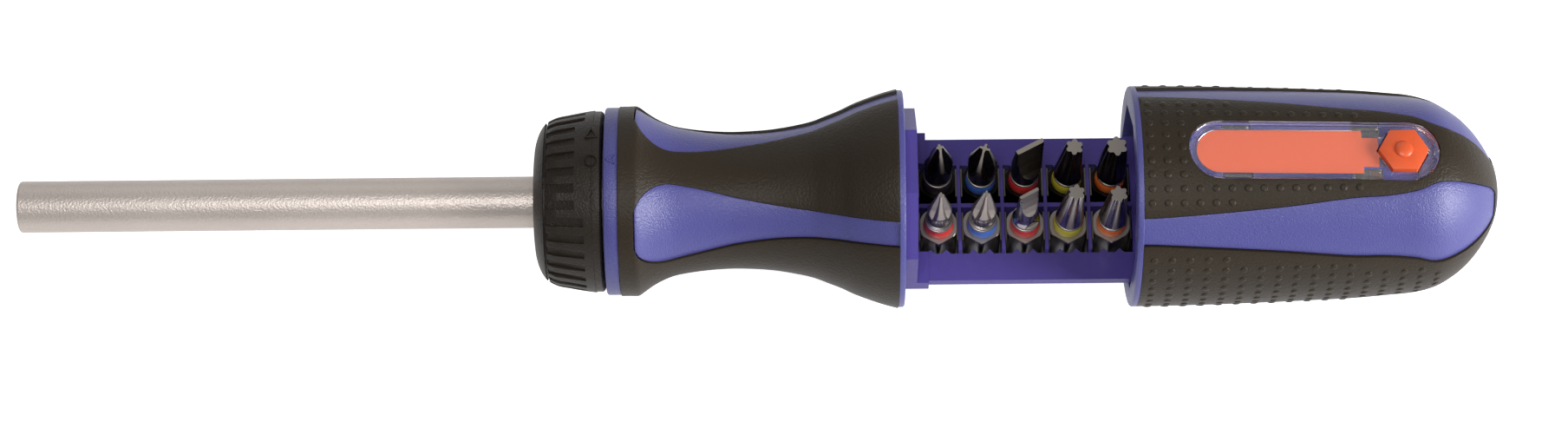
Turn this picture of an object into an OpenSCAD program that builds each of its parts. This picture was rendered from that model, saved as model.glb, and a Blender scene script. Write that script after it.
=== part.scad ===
// Ratcheting screwdriver with a slide-out bit rack in its handle.
// X runs along the tool from the tip of the bit tube, Z points up through the label window.
// The cap is drawn open, with all the bits showing.

/* [Bit tube] */
// Outer diameter of the steel bit tube
tube_d = 9; // [8.6:0.1:10]
// Free length of the tube in front of the collar
tube_reach = 90.4; // [60:0.2:120]
// Bevel on the mouth of the tube
tube_bevel = 0.5; // [0.2:0.1:0.7]
// Diameter of the tube's journal inside the collar
journal_d = 8.6; // [8:0.1:8.8]
// Width across the flats of a screwdriver bit
bit_af = 6.35; // [6:0.05:6.4]
// Room between a bit and the socket, across the flats
socket_clearance = 0.12; // [0.08:0.01:0.2]
// Depth of the hexagon socket
socket_depth = 14; // [10:0.5:18]
// Diameter of the magnet at the bottom of the socket
magnet_d = 5.6; // [4:0.1:6]
// Length of the magnet
magnet_len = 4; // [2:0.5:8]
// Diameter of the shank behind the ratchet gear's seat
shank_d = 7.2; // [6:0.1:7.6]

/* [Selector collar] */
// Length of the collar
collar_len = 12; // [11.5:0.1:14]
// Diameter of the collar at its rear edge
collar_d = 32; // [30:0.5:34]
// Gap between the collar and the handle
collar_gap = 0.4; // [0.3:0.05:0.6]
// Number of finger flutes round the collar
flute_count = 32; // [18:1:36]
// Width of one flute
flute_w = 1.5; // [1:0.1:1.6]
// Depth of the flutes
flute_depth = 0.3; // [0.2:0.05:0.5]
// Turn of the collar each way from its lock position, in degrees
selector_swing = 21; // [15:1:25]

/* [Ratchet] */
// Number of teeth on the ratchet gear
gear_teeth = 24; // [16:1:30]
// Diameter over the tooth tips
gear_d = 13.2; // [12:0.1:13.4]
// Depth of a tooth
tooth_depth = 0.7; // [0.4:0.05:0.9]
// Width of the gear along the tube
gear_w = 5; // [4:0.1:5.2]
// Outer diameter of the ratchet housing
housing_d = 21.2; // [20.8:0.1:22]
// Length of the housing that is pressed into the handle
housing_seat = 5.2; // [4:0.1:7]
// Diameter of the pawl pins
pawl_pin_d = 1.6; // [1.2:0.1:1.8]
// Distance of each pawl pin from the middle plane
pawl_pin_y = 5; // [4.8:0.05:5.2]
// Height of the pawl pins above the tool's axis
pawl_pin_z = 6.8; // [6.6:0.05:7]
// Outer diameter of the spindle bush
bush_d = 10.4; // [9:0.1:11]
// Length of the spindle bush
bush_len = 14; // [10:0.5:18]

/* [Front handle] */
// Length of the blue ring behind the collar
ring_len = 2.5; // [1.5:0.1:3.5]
// Diameter of the blue ring
ring_d = 32.8; // [31:0.1:34]
// Length of the rubber grip
grip_len = 48.3; // [42:0.1:60]
// Diameter of the rubber's front lip
lip_d = 33.2; // [31:0.1:35]
// Diameter of the grip at its waist
waist_d = 24; // [22:0.2:27]
// Diameter of the grip at its rear end
grip_d = 38.4; // [36:0.2:40]
// Thickness of the rubber on the front handle
rubber_t = 1.6; // [1:0.1:2]
// Length of the blue rim behind the rubber
rim_len = 1.1; // [0.6:0.1:2]
// Diameter of the blue rim
rim_d = 38; // [35:0.2:38.4]
// Widest half of a handle window
handle_window_w = 7.2; // [5:0.1:7.6]

/* [Bit rack] */
// Length of the octagon neck
neck_len = 2.2; // [1:0.1:4]
// How much larger the neck is than the rack, across
neck_over = 1.9; // [1:0.1:2.2]
// Length of the half step behind the neck
step_len = 2.1; // [1:0.1:3]
// Size of the rack across its corners
rack_d = 29.8; // [29:0.1:30.4]
// Depth of the rack's ledges below the axis
ledge_drop = 4.6; // [4:0.1:5]
// Distance from the neck's rear face to the middle of the first bits
first_bit = 3.95; // [3.9:0.05:6]
// Distance between bits along the rack
bit_pitch = 7.59; // [7.5:0.01:8.2]
// Number of bits in a row
bit_columns = 5; // [3:1:5]
// Distance between the two rows of bits
row_gap = 8.5; // [8:0.1:8.8]
// Distance from the last bits to the end of the rack
rack_tail = 8.9; // [8.5:0.1:12]
// Thickness of the rack's end wall
end_wall = 2.6; // [2:0.1:3.2]
// Width of the trough that holds the bits
trough_w = 17.2; // [16.8:0.1:18]
// Thickness of the spring-steel bit clips
clip_t = 0.25; // [0.2:0.01:0.3]

/* [Bits] */
// Length of a bit
bit_len = 25; // [22:0.5:26]
// Length of a bit's hexagon shank
bit_shank = 10.6; // [9:0.1:12]
// Diameter of the coloured ring on a bit
band_d = 5.4; // [5:0.1:6]
// Height of the coloured ring
band_h = 2.4; // [0.8:0.1:3]

/* [Cap] */
// Length of the cap
cap_len = 64.6; // [60:0.2:80]
// How much larger the cap is than the rack, across
cap_over = 8.8; // [8:0.2:10]
// Travel of the cap along the rack
stroke = 39.2; // [37:0.1:39.2]
// Gap between the closed cap and the front handle
close_gap = 0.3; // [0.2:0.05:0.6]
// Thickness of the rubber on the cap
cap_rubber_t = 1.2; // [0.8:0.1:1.4]
// Width of the blue rim at the mouth of the cap
cap_rim = 1.1; // [1:0.1:3]
// Widest half of a cap window
cap_window_w = 7.4; // [5:0.1:7.6]
// Depth of the windows below the rubber
window_drop = 0.3; // [0.1:0.05:0.5]
// Groove between the rubber and the window panels
window_groove = 0.25; // [0.15:0.05:0.4]

/* [Label window] */
// Length of the clear cover
cover_len = 43; // [40:0.5:46]
// Width of the clear cover
cover_w = 10.8; // [10.5:0.1:12]
// Thickness of the clear cover
cover_t = 1.6; // [1.2:0.1:2]
// Distance from the mouth of the cap to the cover
cover_start = 9.2; // [8:0.1:12]
// How far the cover's front end lies inside the cap's largest radius
cover_sink = 0.8; // [0.6:0.1:1]
// Fall of the cover towards the end of the cap, in degrees
cover_tilt = 2.35; // [1.5:0.05:3]
// Width of the orange strip
strip_w = 8.2; // [7:0.1:9]
// Thickness of the orange strip
strip_t = 0.4; // [0.2:0.05:0.6]

/* [Release button] */
// Width of the button across its flats
button_af = 7.5; // [6.5:0.1:7.8]
// Travel of the button
button_travel = 1.2; // [0.8:0.1:1.2]
// Distance from the latch stem's front face to the middle of the button
button_reach = 0.4; // [0.2:0.1:1]

/* [Hidden] */

// Fits, running gaps and the one overrun that every cut uses
fit = 0.05;
gap = 0.3;
cut = 1;
round_fn = 96;
rear_angle = 90;

// Sizes that follow the rack's
cap_d = rack_d + cap_over;
neck_d = rack_d + neck_over;

// Places along the tool
collar_x = tube_reach;
collar_end = collar_x + collar_len;
ring_x = collar_end + collar_gap;
grip_x = ring_x + ring_len;
grip_end = grip_x + grip_len;
rim_end = grip_end + rim_len;
neck_end = rim_end + neck_len;
step_end = neck_end + step_len;
bits_x = neck_end + first_bit;
last_bit_x = bits_x + (bit_columns - 1) * bit_pitch;
rack_end = last_bit_x + rack_tail;
cap_x = rim_end + close_gap + stroke;
cap_end = cap_x + cap_len;

// Shape of the front grip: shares of its length and of its rise from the waist
lip_len = 3;
waist_share = 0.416;
front_fall_shares = [
    [0, 1], [0.05, 0.88], [0.1, 0.76], [0.15, 0.65], [0.24, 0.49],
    [0.37, 0.31], [0.51, 0.19], [0.66, 0.1], [0.8, 0.04], [1, 0]
];
rear_rise_shares = [
    [0, 0], [0.22, 0.045], [0.39, 0.155], [0.48, 0.24], [0.56, 0.36], [0.65, 0.5],
    [0.73, 0.65], [0.82, 0.785], [0.91, 0.905], [1, 1]
];
waist_x = grip_x + waist_share * grip_len;

// Shape of the cap: shares of its length and of its radius
cap_shares = [
    [0, 1], [0.1, 0.997], [0.22, 0.99], [0.32, 0.98], [0.42, 0.969], [0.51, 0.957], [0.61, 0.942],
    [0.7, 0.918], [0.76, 0.9], [0.8, 0.876], [0.828, 0.845], [0.837, 0.829], [0.857, 0.793],
    [0.876, 0.751], [0.894, 0.705], [0.913, 0.643], [0.932, 0.575], [0.95, 0.497], [0.969, 0.389],
    [0.978, 0.321], [0.988, 0.238], [0.997, 0.09]
];

// Windows in the rubber: shares of their length and of their widest half
handle_window_shares = [
    [0, 0.45], [0.015, 0.68], [0.04, 0.86], [0.075, 0.97], [0.116, 1], [0.2, 0.9], [0.28, 0.78],
    [0.395, 0.6], [0.575, 0.417], [0.72, 0.35], [0.87, 0.333], [1, 0.333]
];
cap_window_shares = [
    [0, 0.35], [0.04, 0.36], [0.362, 0.56], [0.575, 0.745], [0.654, 0.765], [0.742, 0.858],
    [0.803, 1], [0.879, 0.867], [0.953, 0.54], [0.974, 0.35], [0.982, 0.18]
];
window_start_share = 0.8;
handle_window_x = grip_x + window_start_share * lip_len;
window_angles = [45, 135, 225, 315];

// Inside the front handle
nose_wall = 2;
cover_plate_t = 1;
plate_x = collar_x + nose_wall + gap;
housing_x = plate_x + cover_plate_t;
housing_end = ring_x + housing_seat;
gear_x = housing_x + gap;
gear_end = gear_x + gear_w;
cavity_end = gear_end + gap;
cavity_d = gear_d + 2 * gap;
rear_bore_d = 12.8;
rear_bore_x = housing_end + bush_len;
washer_t = 0.6;
washer_play = 0.2;
washer_x = rear_bore_x + washer_play;
circlip_t = 0.8;
circlip_d = 9.6;
groove_d = 6.2;
groove_x = washer_x + washer_t + washer_play;
shank_tail = 2.2;
shank_end = groove_x + circlip_t + shank_tail;
plug_d = 25;
plug_len = 8.2;
plug_x = rim_end - plug_len;
lug_len = 3;
lug_w = 5;
lug_h = 0.9;
drive_rise = 0.4;
drive_d = shank_d + 2 * drive_rise;

// Collar: shares of its length and of its rear diameter
collar_shares = [
    [0, 0.56], [0.033, 0.69], [0.09, 0.8], [0.13, 0.835], [0.17, 0.87], [0.24, 0.897], [0.33, 0.925],
    [0.48, 0.947], [0.63, 0.968], [0.79, 0.988], [0.92, 1], [1, 1]
];
collar_bore = housing_d + 2 * fit;
flute_start = 2.5;
flute_x = collar_x + flute_start;
flute_len = 4.9;
flute_slope = 12;
flute_seat_share = 0.458;
tube_gap_d = tube_d + 2 * gap;
ring_t = 0.7;
ring_depth = 0.7;
ring_stand = 0.6;
ring_back = 2.6;
ring_inner_d = housing_d - 2 * ring_depth;
ring_outer_d = housing_d + 2 * ring_stand;
ring_slot_x = collar_end - ring_back;
ring_opening = 3;
track_out = 2.4;
track_d = housing_d + 2 * track_out;
track_w = 3.2;
track_depth = 0.75;
notch_depth = 0.35;
ball_d = 2.4;
ball_x = ring_x + collar_gap;
ball_bore_d = 2.5;
ball_bore_len = 6.5;
detent_turns = 6;
lug_arc_w = 3;
cam_reach = 0.5;
cam_d = housing_d - 2 * cam_reach;
mark_w = 1.1;
mark_len = 1.4;
mark_h = 0.3;
mark_back = 3.2;

// Pawls, drawn on the side of the reverse pin
pawl_w = 3.6;
pawl_boss_d = 2.8;
nose_y = 1.1;
nose_z = 7.2;
nose_h = 1.4;
heel_y = 3.4;
heel_z = 6.5;
slot_y = 6.9;
slot_z = 4.6;
pin_seat = 2;
pin_end = cavity_end + pin_seat;
pawl_coil_d = 2.5;
pawl_coil_turns = 3;
coil_wire = 0.3;
screw_edge = 1.8;
screw_ring_d = housing_d - 2 * screw_edge;
screw_d = 1.4;
screw_head_d = 2.4;
screw_head_t = 0.7;
screw_len = 5;
screw_angles = [110, 180, 250];

// Bit rack
apothem_share = cos(180 / 8);
trough_x = bits_x - bit_pitch / 2;
trough_end = last_bit_x + bit_pitch / 2;
trough_floor = -13;
belly_room = 1;
belly_d = neck_d - belly_room;
rack_side = rack_d / 2 * apothem_share;
bit_floor = trough_floor + clip_t;
rib_t = 0.6;
rib_top = -3;
middle_rib_t = 0.8;
tooth_w = 1.6;
tooth_h = 0.8;
tooth_gap = 1.4;
step_drop = 3.6;
wall_top = 12.6;
bar_h = 1.4;
latch_w = 7;
latch_low = 7.4;
clip_w = 5.4;
clip_top = -2.6;
clip_room = 0.02;
clip_y = bit_af / 2 + clip_t / 2 + clip_room;

// Bits
shoulder_z = bit_floor + bit_shank;
tip_z = bit_floor + bit_len;
bit_bevel = 0.5;
band_groove_d = 4.6;
neck_top_d = 4.5;
neck_groove_h = 0.4;
tip_root = 4.2;
shaft_share = 0.82;
blade_angle = 28;
grind_r = 11.8;
star_lobes = 6;
star_points = 48;
star_wave = 0.14;

// Cap
cap_play = 0.35;
cap_bore_d = rack_d + 2 * cap_play;
mouth_bore_d = neck_d + 2 * gap;
belly_end = trough_end + stroke + gap;
bore_tail = 1.08;
bore_end = rack_end + stroke + bore_tail;
pocket_w = 11.2;
pocket_floor = 7;
stop_x = rack_end - end_wall - gap;
stop_len = 0.9;
stop_low = -3.3;
stop_h = 2.3;
stop_y = 10.2;
stop_w = mouth_bore_d / 2 * apothem_share + gap - stop_y;
bore_top = cap_bore_d / 2 * apothem_share;
boss_depth = 4;

// Label window, in its own tilted frame: zero at the front end on the cover's face
cover_x = cap_x + cover_start;
cover_top = cap_d / 2 - cover_sink;
seat_z = -cover_t;
strip_start = 1.2;
strip_len = 31.4;
strip_neck_w = 5.5;
strip_neck_len = 2.8;
strip_clearance = 0.1;
grip_clearance = 0.25;
cover_clip_len = 5.8;
cover_clip_out = 0.6;
cover_clip_shares = [0.192, 0.712];

// Release button and its latch
latch_room = 0.1;
stem_x = rack_end + gap + stroke + latch_room;
button_x = stem_x + button_reach;
button_sink = 1.8;
button_top = cap_d / 2 - button_sink;
button_low = wall_top + gap + button_travel;
stud_d = 2.1;
stud_h = 0.5;
stem_t = 2;
stem_w = 4.4;
arm_low = latch_low + gap + button_travel + latch_room;
arm_h = 1.2;
barb_len = 1.4;
barb_h = 1.4;
barb_x = stem_x - end_wall - 2 * (gap + latch_room) - barb_len;
flange_t = 0.8;
flange_z = bore_top - gap - flange_t;
flange_len = 5.2;
flange_w = 10;
spring_d = 3.2;
spring_wire = 0.45;
spring_turns = 5;
spring_x = stem_x + stem_t + spring_d / 2 + 2 * latch_room;
pocket_end = spring_x + spring_d / 2 + gap;

// A turned shape: points are radius and place along the tool
module turned(points) {
    rotate([0, rear_angle, 0]) rotate_extrude($fn = round_fn) polygon(points);
}

// A round bar along the tool
module bar(d, from, to) {
    translate([from, 0, 0]) rotate([0, rear_angle, 0]) cylinder(d = d, h = to - from, $fn = round_fn);
}

// An octagon bar along the tool, flat side up
module octagon(d, from, to) {
    translate([from, 0, 0]) rotate([0, rear_angle, 0]) rotate([0, 0, 180 / 8])
        cylinder(d = d, h = to - from, $fn = 8);
}

// A block from one corner to the other
module block(low, high) {
    translate(low) cube(high - low);
}

// Children turned round the tool's axis, from the top towards +Y
module round_at(angle) {
    rotate([-angle, 0, 0]) children();
}

// A window's prism, standing on the tool's axis; its ends may run over into what lies beside it
module window_prism(shares, from, long, half_w, inset, front, rear, low, high) {
    left = [for (s = shares)
        [from + s[0] * long + (s[0] == 0 ? inset - front : s[0] == 1 ? rear : 0), s[1] * half_w - inset]];
    right = [for (p = reversed(left)) [p[0], -p[1]]];
    translate([0, 0, low]) linear_extrude(high - low) polygon(concat(left, right));
}

// A stadium along X from its front end
module stadium(len, w) {
    translate([w / 2, 0]) circle(d = w, $fn = round_fn);
    translate([len - w / 2, 0]) circle(d = w, $fn = round_fn);
    translate([w / 2, -w / 2]) square([len - w, w]);
}

// A coil spring along Z, one unbroken tube
module coil(d, wire, turns, height) {
    steps = 10;
    sides = 6;
    rings = turns * steps;
    rise = (height - wire) / rings;
    points = [for (i = [0:rings]) for (j = [0:sides - 1])
        let (a = 360 * i / steps, b = 360 * j / sides, r = (d - wire) / 2 + wire / 2 * cos(b))
        [r * cos(a), r * sin(a), wire / 2 + rise * i + wire / 2 * sin(b)]];
    side = [for (i = [0:rings - 1]) for (j = [0:sides - 1])
        let (k = (j + 1) % sides, p = i * sides, q = p + sides)
        each [[p + j, q + k, p + k], [p + j, q + j, q + k]]];
    first = [for (j = [1:sides - 2]) [0, j, j + 1]];
    last = [for (j = [1:sides - 2]) [rings * sides, rings * sides + j + 1, rings * sides + j]];
    polyhedron(points, concat(side, first, last));
}

// Outline of the front grip, lowered by a depth
function grip_points(depth) = concat(
    [[lip_d / 2 - depth, grip_x]],
    [for (s = front_fall_shares)
        let (r = (waist_d + s[1] * (lip_d - waist_d)) / 2, start = grip_x + lip_len)
        [r - depth, start + s[0] * (waist_x - start)]],
    [for (i = [1:len(rear_rise_shares) - 1])
        let (s = rear_rise_shares[i], r = (waist_d + s[1] * (grip_d - waist_d)) / 2)
        [r - depth, waist_x + s[0] * (grip_end - window_groove - waist_x)]],
    [[grip_d / 2 - depth, grip_end]]
);

// Outline of the cap, drawn in by a depth
function cap_points(depth) = concat(
    [for (s = cap_shares) [s[1] * (cap_d / 2 - depth), cap_x + s[0] * (cap_len - depth)]],
    [[0, cap_end - depth]]
);

// The same outline behind the blue rim alone
function rubber_points(depth) = concat(
    [[cap_d / 2 - depth, cap_x + cap_rim]],
    [for (p = cap_points(depth)) if (p[1] > cap_x + cap_rim) p]
);

function reversed(list) = [for (i = [len(list) - 1:-1:0]) list[i]];

module handle_windows(inset) {
    for (a = window_angles) round_at(a)
        window_prism(handle_window_shares, handle_window_x, grip_end - handle_window_x, handle_window_w,
            inset, 0, cut, bush_d / 2, grip_d);
}

module cap_windows(inset) {
    for (a = window_angles) round_at(a)
        window_prism(cap_window_shares, cap_x + cap_rim, cap_len - cap_rim, cap_window_w,
            inset, cut, 0, 0, cap_d);
}

module handle_core() {
    color("slateblue") difference() {
        union() {
            turned(concat(
                [[0, ring_x], [ring_d / 2 - window_drop, ring_x], [ring_d / 2, ring_x + window_drop],
                    [ring_d / 2, grip_x]],
                grip_points(rubber_t),
                [[rim_d / 2, grip_end], [rim_d / 2, rim_end], [0, rim_end]]
            ));
            intersection() {
                turned(concat([[0, grip_x]], grip_points(window_drop), [[0, grip_end]]));
                handle_windows(window_groove);
            }
            translate([ring_x + ring_len / 2 - mark_len / 2, -mark_w / 2, 0])
                cube([mark_len, mark_w, ring_d / 2 + mark_h]);
        }
        turned([
            [0, ring_x - cut], [housing_d / 2, ring_x - cut], [housing_d / 2, housing_end],
            [bush_d / 2, housing_end], [bush_d / 2, rear_bore_x], [rear_bore_d / 2, rear_bore_x],
            [rear_bore_d / 2, plug_x], [plug_d / 2, plug_x], [plug_d / 2, rim_end + cut], [0, rim_end + cut]
        ]);
        round_at(180) translate([0, 0, track_d / 2]) bar(ball_bore_d, ring_x - cut, ring_x + ball_bore_len);
        plug_lugs(fit);
    }
}

module front_grip() {
    color("dimgray") difference() {
        turned(concat(grip_points(0), reversed(grip_points(rubber_t))));
        handle_windows(0);
    }
}

// Two snap lugs on the rack's plug, at its sides
module plug_lugs(room) {
    block([plug_x + lug_len - room, -plug_d / 2 - lug_h - room, -lug_w / 2 - room],
        [plug_x + 2 * lug_len + room, plug_d / 2 + lug_h + room, lug_w / 2 + room]);
}

module bit_rack() {
    color("darkslateblue") {
        difference() {
            union() {
                bar(plug_d, plug_x, rim_end);
                plug_lugs(0);
                octagon(neck_d, rim_end, neck_end);
                intersection() {
                    octagon(neck_d, neck_end, step_end);
                    block([neck_end, -neck_d, -neck_d], [step_end, neck_d, -step_drop]);
                }
                intersection() {
                    octagon(belly_d, neck_end, trough_end);
                    block([neck_end, -rack_side, -rack_d], [trough_end, rack_side, -ledge_drop]);
                }
                intersection() {
                    octagon(rack_d, trough_end - cut, rack_end);
                    union() {
                        block([trough_end - cut, -rack_d, -rack_d], [rack_end, rack_d, -ledge_drop]);
                        block([rack_end - end_wall, -rack_d, -rack_d], [rack_end, rack_d, wall_top]);
                    }
                }
            }
            bar(plug_d - 2 * end_wall, plug_x - cut, rim_end - window_groove);
            block([trough_x, -trough_w / 2, trough_floor], [trough_end, trough_w / 2, rack_d]);
            block([rack_end - end_wall - cut, -latch_w / 2, latch_low],
                [rack_end + cut, latch_w / 2, wall_top - bar_h]);
        }
        block([trough_x, -middle_rib_t / 2, trough_floor], [trough_end, middle_rib_t / 2, rib_top]);
        intersection() {
            octagon(belly_d - 2 * fit, neck_end, trough_end);
            union() {
                for (i = [1:bit_columns - 1]) translate([bits_x + (i - 1 / 2) * bit_pitch, 0, 0])
                    block([-rib_t / 2, -trough_w / 2, trough_floor], [rib_t / 2, trough_w / 2, rib_top]);
                for (i = [0:bit_columns - 1]) for (side = [-1, 1]) for (end = [-1, 1])
                    translate([bits_x + i * bit_pitch + side * tooth_gap, end * trough_w / 2, trough_floor])
                        linear_extrude(-ledge_drop - trough_floor)
                            polygon([[-tooth_w / 2, 0], [tooth_w / 2, 0], [0, -end * tooth_h]]);
            }
        }
    }
}

module bit_clips() {
    color("silver") for (i = [0:bit_columns - 1]) for (row = [-1, 1])
        translate([bits_x + i * bit_pitch, row * row_gap / 2, 0]) {
            for (side = [-1, 1])
                block([side * clip_y - clip_t / 2, -clip_w / 2, trough_floor],
                    [side * clip_y + clip_t / 2, clip_w / 2, clip_top]);
            block([-clip_y, -clip_w / 2, trough_floor], [clip_y, clip_w / 2, bit_floor]);
        }
}

// Shank, ring groove and neck that every bit has
module bit_shank_shape(neck) {
    intersection() {
        translate([0, 0, bit_floor]) rotate([0, 0, 30])
            cylinder(d = bit_af / cos(30), h = bit_shank, $fn = 6);
        translate([0, 0, bit_floor]) rotate_extrude($fn = round_fn) polygon([
            [0, 0], [bit_af / 2 - bit_bevel / 2, 0], [bit_af / 2 + bit_bevel, bit_bevel],
            [bit_af / 2 + bit_bevel, bit_shank - bit_bevel / 2], [bit_af / 2 + bit_bevel / 4, bit_shank],
            [0, bit_shank]
        ]);
    }
    translate([0, 0, shoulder_z]) rotate_extrude($fn = round_fn) polygon([
        [0, -bit_bevel], [band_groove_d / 2, -bit_bevel], [band_groove_d / 2, band_h],
        [band_d / 2 - fit, band_h],
        [band_groove_d / 2 + fit, band_h + neck_groove_h], [neck_top_d / 2 - fit, band_h + neck_groove_h],
        [neck_top_d / 2 - fit, band_h + 2 * neck_groove_h], [neck / 2, band_h + 3 * neck_groove_h],
        [neck / 2, band_h + tip_root], [0, band_h + tip_root]
    ]);
}

// A cross tip: four wings on a slim cone
module cross_tip(neck, wide, wing, point) {
    root = shoulder_z + band_h + tip_root / 2;
    rise = tip_z - root;
    intersection() {
        translate([0, 0, root]) rotate_extrude($fn = round_fn) polygon([
            [0, 0], [neck / 2, 0], [wide / 2, rise * 0.36], [point / 2, rise], [0, rise]
        ]);
        rotate([0, 0, 45]) for (a = [0, 90]) rotate([0, 0, a])
            block([-wide, -wing / 2, root], [wide, wing / 2, tip_z]);
    }
    translate([0, 0, root]) cylinder(d1 = neck, d2 = point * shaft_share, h = rise, $fn = round_fn);
}

// A six-lobed tip on a cone
module star_tip(neck, wide, foot) {
    root = shoulder_z + band_h + neck_groove_h * 3;
    translate([0, 0, root]) linear_extrude(tip_z - root) polygon([for (i = [0:star_points - 1])
        let (a = 360 * i / star_points, r = wide / 2 * (1 - star_wave + star_wave * cos(star_lobes * a)))
        [r * cos(a + 30), r * sin(a + 30)]]);
    translate([0, 0, root]) cylinder(d1 = neck, d2 = wide * shaft_share, h = foot, $fn = round_fn);
}

// A flat blade, ground hollow on both sides
module blade_tip(neck, wide, thick) {
    root = shoulder_z + band_h + tip_root;
    rotate([0, 0, blade_angle]) difference() {
        translate([0, 0, root - fit]) cylinder(d = neck - fit, h = tip_z - root + fit, $fn = round_fn);
        for (side = [-1, 1]) translate([-neck, side * (thick / 2 + grind_r), tip_z + thick])
            rotate([0, rear_angle, 0]) cylinder(r = grind_r, h = 2 * neck, $fn = round_fn);
        for (side = [-1, 1]) translate([side * (wide + neck) / 2, 0, root + neck / 3])
            block([-neck / 2, -neck, 0], [neck / 2, neck, bit_len]);
    }
}

module front_bit(i) {
    translate([bits_x + i * bit_pitch, -row_gap / 2, 0]) children();
}

module back_bit(i) {
    translate([bits_x + i * bit_pitch, row_gap / 2, 0]) children();
}

// Cross tips: neck, widest place, wing and point diameters
small_cross = [4.2, 4.7, 1, 1.5];
medium_cross = [4.2, 5, 1.3, 2];
pointed_cross = [5.4, 5.8, 1.2, 1.9];
large_cross = [5.4, 6, 1.6, 3];
// Star tips: neck, width over the lobes and height of the cone
small_star = [5.2, 2.9, 9.2];
medium_star = [4.4, 3.3, 9.2];
tall_star = [5.2, 3.1, 9.2];
large_star = [5.2, 3.8, 9.2];
// Blades: neck, width and thickness at the edge
small_blade = [4.2, 3.8, 0.5];
large_blade = [5.9, 5.6, 0.9];

module front_bit_1() {
    color("silver") front_bit(0) {
        bit_shank_shape(small_cross[0]);
        cross_tip(small_cross[0], small_cross[1], small_cross[2], small_cross[3]);
    }
}

module front_bit_2() {
    color("silver") front_bit(1) {
        bit_shank_shape(medium_cross[0]);
        cross_tip(medium_cross[0], medium_cross[1], medium_cross[2], medium_cross[3]);
    }
}

module front_bit_3() {
    color("silver") front_bit(2) {
        bit_shank_shape(small_blade[0]);
        blade_tip(small_blade[0], small_blade[1], small_blade[2]);
    }
}

module front_bit_4() {
    color("silver") front_bit(3) {
        bit_shank_shape(small_star[0]);
        star_tip(small_star[0], small_star[1], small_star[2]);
    }
}

module front_bit_5() {
    color("silver") front_bit(4) {
        bit_shank_shape(medium_star[0]);
        star_tip(medium_star[0], medium_star[1], medium_star[2]);
    }
}

module back_bit_1() {
    color("dimgray") back_bit(0) {
        bit_shank_shape(pointed_cross[0]);
        cross_tip(pointed_cross[0], pointed_cross[1], pointed_cross[2], pointed_cross[3]);
    }
}

module back_bit_2() {
    color("dimgray") back_bit(1) {
        bit_shank_shape(large_cross[0]);
        cross_tip(large_cross[0], large_cross[1], large_cross[2], large_cross[3]);
    }
}

module back_bit_3() {
    color("dimgray") back_bit(2) {
        bit_shank_shape(large_blade[0]);
        blade_tip(large_blade[0], large_blade[1], large_blade[2]);
    }
}

module back_bit_4() {
    color("dimgray") back_bit(3) {
        bit_shank_shape(tall_star[0]);
        star_tip(tall_star[0], tall_star[1], tall_star[2]);
    }
}

module back_bit_5() {
    color("dimgray") back_bit(4) {
        bit_shank_shape(large_star[0]);
        star_tip(large_star[0], large_star[1], large_star[2]);
    }
}

// One coloured ring, seated in a bit's groove
module bit_band() {
    translate([0, 0, shoulder_z]) difference() {
        cylinder(d = band_d, h = band_h, $fn = round_fn);
        translate([0, 0, -cut]) cylinder(d = band_groove_d, h = band_h + 2 * cut, $fn = round_fn);
    }
}

module red_bit_bands() {
    color("red") {
        front_bit(0) bit_band();
        front_bit(2) bit_band();
        back_bit(2) bit_band();
    }
}

module blue_bit_bands() {
    color("royalblue") {
        front_bit(1) bit_band();
        back_bit(1) bit_band();
    }
}

module yellow_bit_bands() {
    color("gold") {
        front_bit(3) bit_band();
        back_bit(3) bit_band();
    }
}

module orange_bit_bands() {
    color("orange") {
        front_bit(4) bit_band();
        back_bit(4) bit_band();
    }
}

module black_bit_band() {
    color("black") back_bit(0) bit_band();
}

// Children at each of the two pawl pins
module at_pins() {
    for (side = [-1, 1]) translate([0, side * pawl_pin_y, pawl_pin_z]) children();
}

// Children at each of the cover's screws
module at_screws() {
    for (a = screw_angles) round_at(a) translate([0, 0, screw_ring_d / 2]) children();
}

module ratchet_housing() {
    color("gray") difference() {
        bar(housing_d, housing_x, housing_end);
        bar(cavity_d, housing_x - cut, cavity_end);
        bar(shank_d + 2 * fit, cavity_end - cut, housing_end + cut);
        block([housing_x - cut, -slot_y, slot_z], [cavity_end, slot_y, housing_d]);
        at_pins() bar(pawl_pin_d, cavity_end - cut, pin_end);
        at_screws() bar(screw_d, housing_x - cut, housing_x + screw_len);
        difference() {
            bar(housing_d + cut, ring_slot_x + gap, ring_slot_x + gap + ring_t);
            bar(ring_inner_d, ring_slot_x, ring_slot_x + 2 * gap + ring_t);
        }
    }
}

module housing_cover() {
    color("silver") difference() {
        bar(housing_d, plate_x, housing_x);
        bar(tube_gap_d, plate_x - cut, housing_x + cut);
        at_pins() bar(pawl_pin_d, plate_x - cut, housing_x + cut);
        at_screws() {
            bar(screw_d, plate_x - cut, housing_x + cut);
            bar(screw_head_d, plate_x - cut, plate_x + screw_head_t);
        }
    }
}

module cover_screws() {
    color("dimgray") at_screws() difference() {
        union() {
            bar(screw_head_d, plate_x, plate_x + screw_head_t);
            bar(screw_d, plate_x, housing_x + screw_len - gap);
        }
        block([plate_x - cut, -screw_head_d, -gap / 2],
            [plate_x + screw_head_t / 2, screw_head_d, gap / 2]);
    }
}

module pawl_pins() {
    color("silver") at_pins() bar(pawl_pin_d, plate_x, pin_end);
}

module pawl_springs() {
    color("silver") at_pins() translate([gear_x + pawl_w + gap, 0, 0]) rotate([0, rear_angle, 0])
        coil(pawl_coil_d, coil_wire, pawl_coil_turns, cavity_end - gear_x - pawl_w - gap - fit);
}

module spindle_bush() {
    color("peru") difference() {
        bar(bush_d, housing_end, rear_bore_x);
        bar(shank_d + 2 * fit, housing_end - cut, rear_bore_x + cut);
    }
}

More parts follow.
